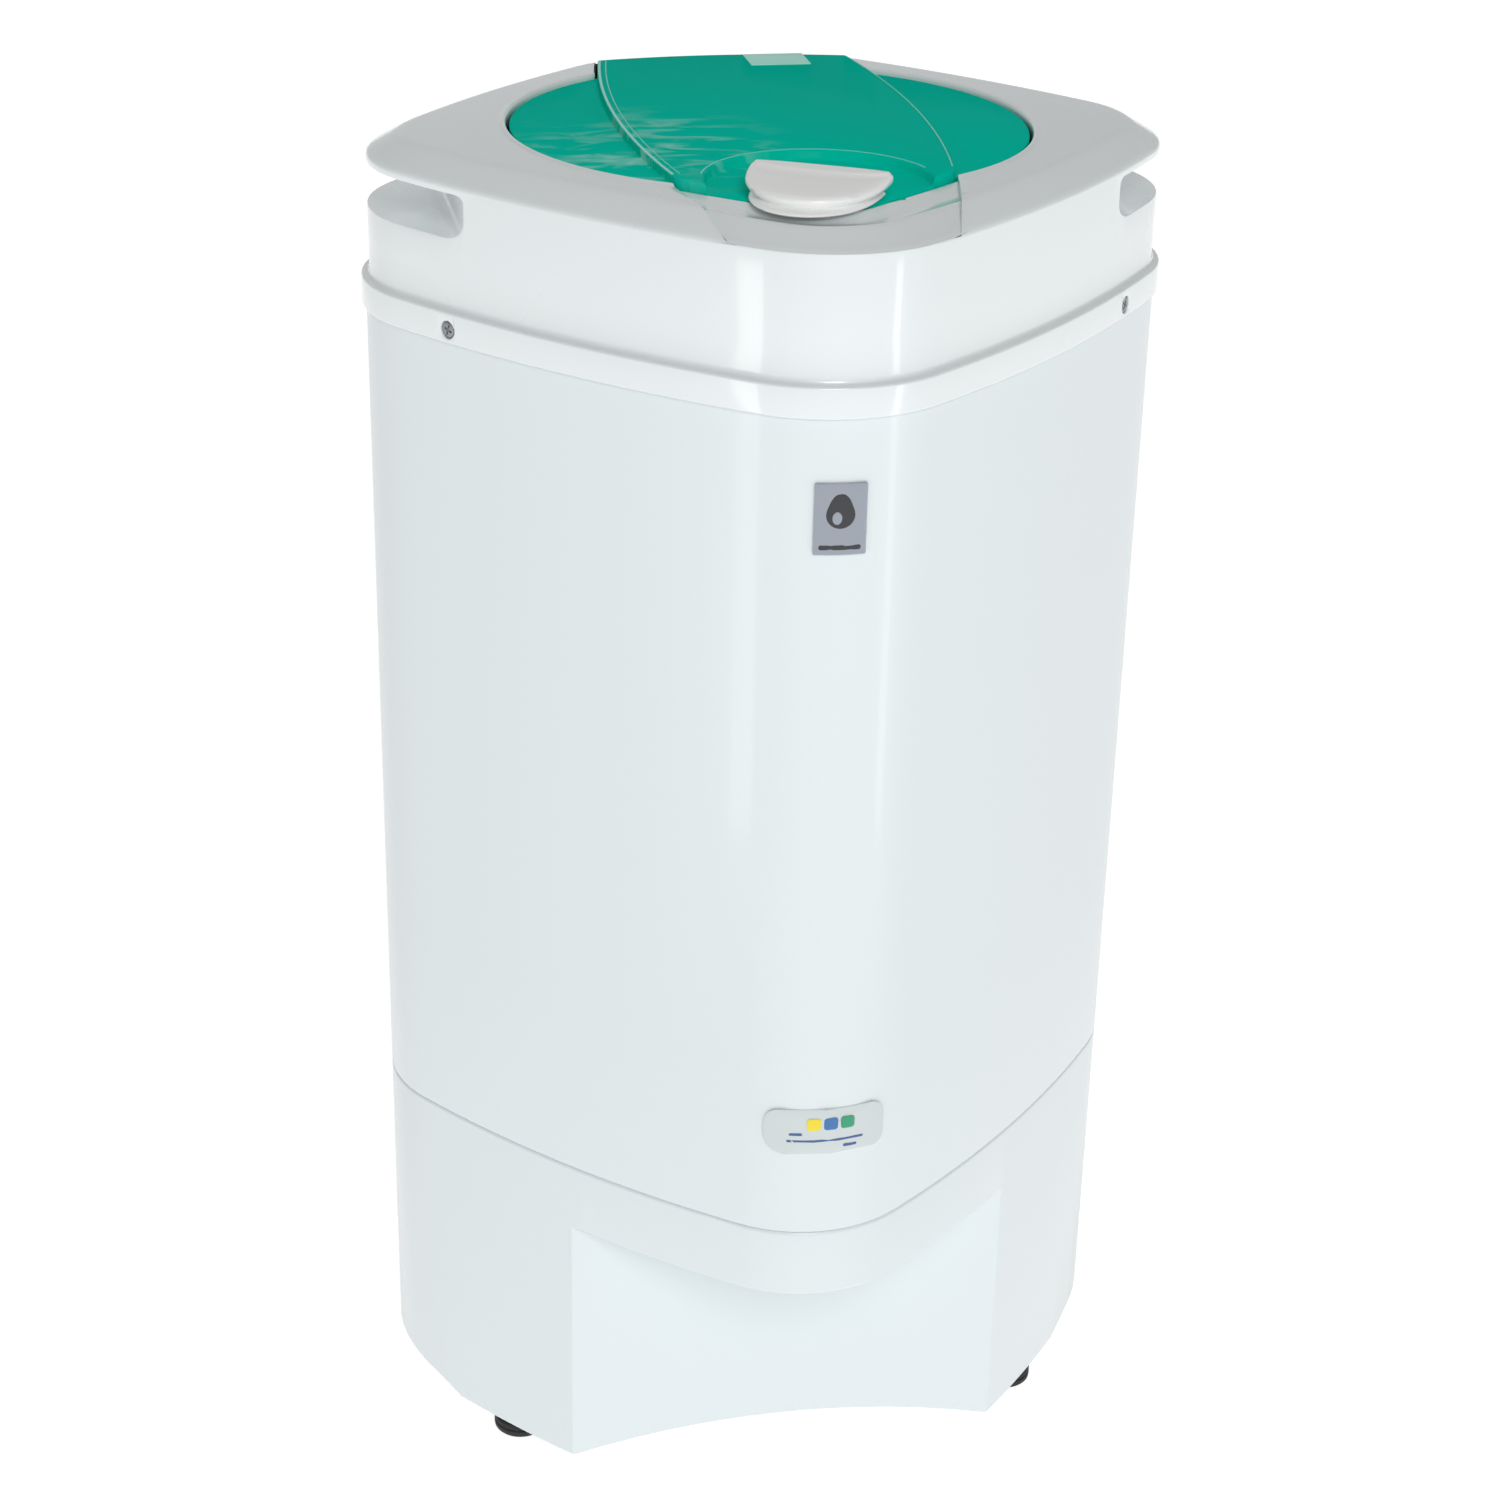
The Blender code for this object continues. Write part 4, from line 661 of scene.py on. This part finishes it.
def lid():
    """Raised band with its skin, the two lobes over the mouth, the finger well and the hinge knuckle."""
    low, skin = 0.5965, 0.0022
    window = extruded("lid_moulding", band(0, -0.15, LID_REAR, bow=REAR_BOW), "Z", low, LID_TOP, LID)
    clip_front(window, "lid", LID_INSET)
    under = extruded("cut_under", band(-skin, -0.15, LID_REAR - skin, bow=REAR_BOW), "Z", 0.58,
                     LID_TOP - 0.0028)
    clip_front(under, "under", LID_INSET + skin)
    combine(window, under)
    lobes = loft("part_lobes", [(circle(OPENING_R - 0.0012), z) for z in (0.5996, 0.6026)])
    combine(lobes, extruded("cut_lobes", band(-0.0012, -0.16, 0.16), "Z", 0.55, 0.65))
    combine(window, lobes, "UNION")
    well = rod("part_well", [(WELL_R + 0.002, 0.5995), (WELL_R + 0.002, LID_TOP - 0.001)], 96,
               at=(*WELL_CENTRE, 0))
    clip_front(well, "well", LID_INSET + 0.001)
    combine(window, well, "UNION")
    combine(window, rod("cut_well", [(WELL_R - 0.0016, WELL_FLOOR), (WELL_R - 0.0006, WELL_FLOOR + 0.0006),
                                     (WELL_R, LID_TOP - 0.0008), (WELL_R + 0.0007, LID_TOP + 0.0001),
                                     (WELL_R + 0.0007, 0.62)], 96, at=(*WELL_CENTRE, 0)))
    combine(window, rod("cut_spindle", [(0.0043, 0.58), (0.0043, 0.62)], 32, at=(LATCH.x, LATCH.y, 0)))
    tongue = box("part_tongue", (-0.0275, LID_REAR - 0.004, low), (0.0275, HINGE.y, HINGE.z + 0.0045))
    combine(window, tongue, "UNION")
    knuckle = rod("part_knuckle", [(0.0050, -0.0285), (0.0050, 0.0285)], 48, axis=(1, 0, 0), at=HINGE)
    combine(window, knuckle, "UNION")
    combine(window, rod("cut_bore", [(0.0028, -0.05), (0.0028, 0.05)], 32, axis=(1, 0, 0), at=HINGE))
    settle(window, bevel=0.0006, angle=42, segments=2)
    stand_for(window, "lid", "emerald_clear", "lid_window")
    painted_lid_glints()
    pad = box("lid_pad", (0.0100, 0.0930, LID_TOP - 0.0002), (0.0370, 0.1140, LID_TOP + 0.0004), PALE_PAD,
              bevel=0.0002)
    stand_for(pad, "lid", "emerald_clear")


def knob_ring(half, back, front, steps=40):
    """Grip side nearly straight, ends rounded, front a full bow. Local +X along the grip, -Y to the front."""
    points = []
    for step in range(steps):
        angle = math.pi * step / (steps - 1)
        points.append((half * math.cos(angle), -front * math.sin(angle) ** 0.78))
    reach = 12
    for step in range(1, reach):
        x = -half + 2 * half * step / reach
        points.append((x, back * (1 - (x / half) ** 4)))
    return points


def knob():
    """Crescent knob: a thin brim, a waist above it, a bowed face and a narrow flat top.

    Each ring is half its length, how far it reaches back and forward of the spindle, and its height.
    """
    rings = [(0.0215, 0.0006, 0.0350, 0.6023), (0.0240, 0.0010, 0.0406, 0.6024),
             (0.0250, 0.0013, 0.0424, 0.6027), (0.0254, 0.0015, 0.0430, 0.6032),
             (0.0251, 0.0018, 0.0427, 0.6037), (0.0244, 0.0020, 0.0416, 0.6041),
             (0.0240, 0.0022, 0.0385, 0.6044), (0.0242, 0.0024, 0.0366, 0.6048),
             (0.0258, 0.0027, 0.0368, 0.6056), (0.0272, 0.0030, 0.0374, 0.6068),
             (0.0279, 0.0031, 0.0368, 0.6080), (0.0281, 0.0031, 0.0338, 0.6089),
             (0.0281, 0.0030, 0.0280, 0.6097), (0.0279, 0.0028, 0.0210, 0.6104),
             (0.0276, 0.0026, 0.0140, 0.6109), (0.0272, 0.0022, 0.0086, 0.6111),
             (0.0268, 0.0018, 0.0076, 0.6117), (0.0262, 0.0012, 0.0066, 0.6120),
             (0.0200, 0.0006, 0.0050, 0.6120), (0.0100, 0.0002, 0.0026, 0.6120)]
    piece = loft("knob_grip", [(knob_ring(half, back, front), z) for half, back, front, z in rings], KNOB,
                 smooth=60)
    piece.data.transform(Matrix.Translation((LATCH.x, LATCH.y, 0)) @ Matrix.Rotation(LATCH_TURN, 4, "Z"))
    return stand_for(piece, "latch", "white_knob", "latch_knob")


# ---- tub and drum --------------------------------------------------------------------------------
def drum():
    """Perforated steel wall, rolled lip and dished floor in one skin of even thickness."""
    radius, wall, columns, rows = 0.112, 0.0012, 40, 18
    low, high = 0.220, 0.541
    pitch = (high - 0.012 - (low + 0.014)) / rows
    bm = bmesh.new()

    def spot(angle_step, z, r=radius):
        angle = math.pi * angle_step / columns
        return bm.verts.new((r * math.cos(angle), r * math.sin(angle), z))

    def ring_of(r, z):
        return [spot(k, z, r) for k in range(2 * columns)]

    start = low + 0.014
    levels = [ring_of(radius, start + pitch * row) for row in range(rows + 1)]
    for row in range(rows):
        shift = row % 2
        lower, upper = levels[row], levels[row + 1]
        middle_z = start + pitch * (row + 0.5)
        sides = [spot(2 * column + shift, middle_z) for column in range(columns)]
        for column in range(columns):
            left, mid, right = 2 * column + shift, 2 * column + shift + 1, 2 * column + shift + 2
            count = 2 * columns
            edge = [lower[left % count], lower[mid % count], lower[right % count],
                    sides[(column + 1) % columns],
                    upper[right % count], upper[mid % count], upper[left % count], sides[column]]
            hole = []
            for k in range(8):
                turn = math.radians(225 + 45 * k)
                dx, dz = 0.0027 * math.cos(turn), 0.0027 * math.sin(turn)
                hole.append(spot(mid + dx / radius * columns / math.pi, middle_z + dz))
            for k in range(8):
                n = (k + 1) % 8
                bm.faces.new((edge[k], edge[n], hole[n], hole[k]))
    below = [(radius, low), (radius - 0.0010, low - 0.0035), (radius - 0.0035, low - 0.0065),
             (radius - 0.0075, 0.2125), (0.090, 0.2122), (0.060, 0.2122), (0.030, 0.2122), (0.0095, 0.2122)]
    above = [(radius, high - 0.008), (radius - 0.0006, high - 0.002), (radius - 0.0026, high + 0.0016),
             (radius - 0.0060, high + 0.0034), (radius - 0.0090, high + 0.0036),
             (radius - 0.0112, high + 0.0026), (radius - 0.0120, high + 0.0008)]
    for rim, path in ((levels[0], below), (levels[-1], above)):
        last = rim
        for r, z in path:
            ring = ring_of(r, z)
            for k in range(2 * columns):
                n = (k + 1) % (2 * columns)
                bm.faces.new((last[k], last[n], ring[n], ring[k]))
            last = ring
    piece = finish_mesh("drum_skin", bm, STAINLESS, smooth=50)
    solid = piece.modifiers.new("thick", "SOLIDIFY")
    solid.thickness = wall
    solid.offset = -1
    settle(piece, smooth=50)
    stand_for(piece, "drum", "stainless", "spin_drum")
    cap = [(0.0400, 0.2138), (0.0398, 0.2165), (0.0388, 0.2240), (0.0365, 0.2320), (0.0315, 0.2400),
           (0.0240, 0.2455), (0.0150, 0.2488), (0.0070, 0.2499), (0, 0.2500), (0, 0.2475),
           (0.0070, 0.2474), (0.0145, 0.2460),
           (0.0230, 0.2430), (0.0300, 0.2375), (0.0345, 0.2305), (0.0366, 0.2225), (0.0375, 0.2138)]
    stand_for(turned("hub_dome", cap, 64, TUB), "drum", "tub_plastic", "hub_cap")


def tub():
    """Catch tub with its drain nipple, the ring over it, and the rubber seal under the mouth."""
    low, high, radius, wall = 0.188, 0.5597, 0.129, 0.002
    drain = (0, 0.070, 0)
    body = turned("tub_wall", [(radius, low + 0.002), (radius, high), (radius - wall, high),
                               (radius - wall, low + 0.007), (radius - wall - 0.001, low + 0.0045),
                               (radius - wall - 0.004, low + 0.003), (0.024, low + 0.003), (0.024, low),
                               (radius - 0.002, low)], 96, TUB)
    nipple = rod("part_nipple", [(0.0097, low - 0.018), (0.0097, low + 0.001)], 48, at=drain)
    combine(body, nipple, "UNION")
    combine(body, rod("cut_nipple", [(0.0080, low - 0.03), (0.0080, low + 0.03)], 48, at=drain))
    settle(body)
    stand_for(body, "cabinet", "tub_plastic", "outer_tub")
    top = turned("tub_collar", [(0.0985, 0.5602), (0.1290, 0.5602), (0.1306, 0.5606), (0.1308, 0.5618),
                                (0.1300, 0.5628), (0.0990, 0.5628), (0.0981, 0.5622), (0.0980, 0.5610)],
                 96, TUB)
    stand_for(top, "cabinet", "tub_plastic", "tub_cover_ring")
    lip = [(0.112, 0.5636), (0.1135, 0.5633), (0.117, 0.5633), (0.117, 0.5922), (0.112, 0.5922),
           (0.112, 0.586), (0.1108, 0.584), (0.1108, 0.582), (0.112, 0.580)]
    seal = turned("mouth_seal", lip, 96, SEAL_RUBBER)
    combine(seal, box("cut_seal", (-0.032, -0.2, 0.566), (0.032, -0.09, 0.60)))
    combine(seal, box("cut_seal_rear", (-0.032, REAR_Y - 0.0033, BAY_Z - 0.0029), (0.032, 0.2, 0.60)))
    settle(seal)
    stand_for(seal, "cabinet", "grey_rubber", "tub_gasket")


# ---- drain and cable gland -----------------------------------------------------------------------
def rear_fittings():
    spout = turned("spout_moulding", [(0.0097, -0.0115), (0.0097, 0.0003), (0.0146, 0.0003), (0.0150, 0.0008),
                                      (0.0150, 0.0026), (0.0145, 0.0032), (0.0112, 0.0038), (0.0100, 0.0060),
                                      (0.0100, 0.0150), (0.0105, 0.0158), (0.0100, 0.0200), (0.0105, 0.0208),
                                      (0.0100, 0.0250), (0.0105, 0.0258), (0.0098, 0.0300), (0.0080, 0.0300),
                                      (0.0075, 0.0295), (0.0075, -0.0115)], 64, WHITE, axis=(0, 1, 0),
                   at=SPOUT)
    stand_for(spout, "cabinet", "white_gloss", "drain_spout")
    gland = turned("gland_moulding", [(0.007, -0.012), (0.007, 0.0003), (0.0101, 0.0003), (0.0105, 0.0008),
                                      (0.0105, 0.0030), (0.0098, 0.0036), (0.0098, 0.0050), (0.0092, 0.0070),
                                      (0.0075, 0.0092), (0.0060, 0.0100), (0.0045, 0.0100), (0.0040, 0.0094),
                                      (0.004, -0.012)], 48, BLACK, axis=(0, 1, 0), at=GLAND)
    stand_for(gland, "cabinet", "black_plastic", "cable_gland")


# ---- light, floor and camera ---------------------------------------------------------------------
def studio_floor():
    floor = box("studio_floor", (-30, -30, -0.02), (30, 30, 0.0))
    floor.hide_render = False  # it is made without a material, so it starts hidden, like a cutter
    paint = plastic("studio_paint", (0.38, 0.38, 0.38), rough=0.9, grain=40, depth=0.0, mottle=0.0)
    floor.data.materials.append(paint)
    shader = paint.node_tree.nodes["Principled BSDF"]
    shader.inputs["Emission Color"].default_value = (1, 1, 1, 1)
    shader.inputs["Emission Strength"].default_value = 0.87
    shader.inputs["Specular IOR Level"].default_value = 0.0


def studio_sky():
    """White to the eye, and a soft tent for the light: brighter in front, dimmer towards the sides."""
    world = bpy.data.worlds.new("studio_world")
    bpy.context.scene.world = world
    world.use_nodes = True
    tree = world.node_tree
    tree.nodes.clear()
    out = tree.nodes.new("ShaderNodeOutputWorld")
    seen = tree.nodes.new("ShaderNodeBackground")
    seen.inputs["Color"].default_value = (1, 1, 1, 1)
    tent = tree.nodes.new("ShaderNodeBackground")
    mix = tree.nodes.new("ShaderNodeMixShader")
    path = tree.nodes.new("ShaderNodeLightPath")
    tree.links.new(path.outputs["Is Camera Ray"], mix.inputs[0])
    tree.links.new(tent.outputs[0], mix.inputs[1])
    tree.links.new(seen.outputs[0], mix.inputs[2])
    tree.links.new(mix.outputs[0], out.inputs[0])
    place = tree.nodes.new("ShaderNodeTexCoord")
    axes = tree.nodes.new("ShaderNodeSeparateXYZ")
    tree.links.new(place.outputs["Generated"], axes.inputs[0])
    height = tree.nodes.new("ShaderNodeValToRGB")
    stops = height.color_ramp.elements
    stops[0].position, stops[0].color = 0.0, (0.80, 0.83, 0.84, 1)
    stops[1].position, stops[1].color = 1.0, (0.70, 0.672, 0.660, 1)
    for position, colour in ((0.30, (0.74, 0.76, 0.77, 1)), (0.62, (0.71, 0.69, 0.68, 1))):
        stops.new(position).color = colour
    tree.links.new(axes.outputs["Z"], height.inputs["Fac"])
    turn = tree.nodes.new("ShaderNodeMath")
    turn.operation = "ARCTAN2"
    back = tree.nodes.new("ShaderNodeMath")
    back.operation = "MULTIPLY"
    back.inputs[1].default_value = -1.0
    tree.links.new(axes.outputs["Y"], back.inputs[0])
    tree.links.new(axes.outputs["X"], turn.inputs[0])
    tree.links.new(back.outputs[0], turn.inputs[1])
    sector = tree.nodes.new("ShaderNodeMapRange")
    sector.inputs["From Min"].default_value = -math.pi
    sector.inputs["From Max"].default_value = math.pi
    tree.links.new(turn.outputs[0], sector.inputs["Value"])
    front = tree.nodes.new("ShaderNodeValToRGB")
    marks = front.color_ramp.elements
    marks[0].position, marks[0].color = 0.0, (0.85, 0.85, 0.85, 1)
    marks[1].position, marks[1].color = 1.0, (0.85, 0.85, 0.85, 1)
    for position, level in ((0.16, 0.52), (0.28, 0.34), (0.36, 0.36), (0.44, 0.72), (0.52, 1.36),
                            (0.60, 0.58), (0.68, 0.28), (0.76, 0.26), (0.84, 0.50)):
        marks.new(position).color = (level, level, level, 1)
    tree.links.new(sector.outputs["Result"], front.inputs["Fac"])
    gain = tree.nodes.new("ShaderNodeMix")
    gain.data_type = "RGBA"
    gain.blend_type = "MULTIPLY"
    gain.inputs["Factor"].default_value = 1.0
    tree.links.new(height.outputs["Color"], gain.inputs["A"])
    tree.links.new(front.outputs["Color"], gain.inputs["B"])
    tree.links.new(gain.outputs["Result"], tent.inputs["Color"])
    tent.inputs["Strength"].default_value = 1.0


def panel(name, at, aim, size, power):
    data = bpy.data.lights.new(name, "AREA")
    data.shape = "RECTANGLE"
    data.size, data.size_y = size
    data.energy = power
    lamp = bpy.data.objects.new(name, data)
    lamp.location = at
    lamp.rotation_euler = (Vector(aim) - Vector(at)).to_track_quat("-Z", "Y").to_euler()
    bpy.context.scene.collection.objects.link(lamp)


def studio_lights():
    """A large softbox in front, and two upright strips that show as lines of gloss on the front corner."""
    panel("key_softbox", (-0.05, -2.6, 2.2), (0, 0, 0.6), (0.9, 0.9), 24)
    panel("strip_left", (-0.66, -0.51, 0.26), (0, -0.16, 0.40), (0.08, 0.50), 0.34)
    panel("strip_right", (0.575, -0.64, 0.26), (0, -0.16, 0.40), (0.08, 0.50), 0.34)


def studio_camera():
    camera_data = bpy.data.cameras.new("camera")
    camera_data.sensor_width = 36
    camera_data.lens = 73.44
    camera = bpy.data.objects.new("camera", camera_data)
    forward = Vector((0.17775, 0.88700, -0.42619)).normalized()
    right = Vector((0.98215, -0.18699, 0.02045)).normalized()
    up = right.cross(forward)
    turn_matrix = Matrix((right, up, -forward)).transposed()
    camera.matrix_world = Matrix.Translation((-0.2497, -1.2347, 0.9089)) @ turn_matrix.to_4x4()
    bpy.context.scene.collection.objects.link(camera)
    bpy.context.scene.camera = camera
    bpy.context.scene.view_settings.view_transform = "Standard"


studio_floor()
studio_sky()
studio_lights()
studio_camera()
casing()
base()
cover()
cover_screws()
feet()
badges()
lid()
knob()
drum()
tub()
rear_fittings()
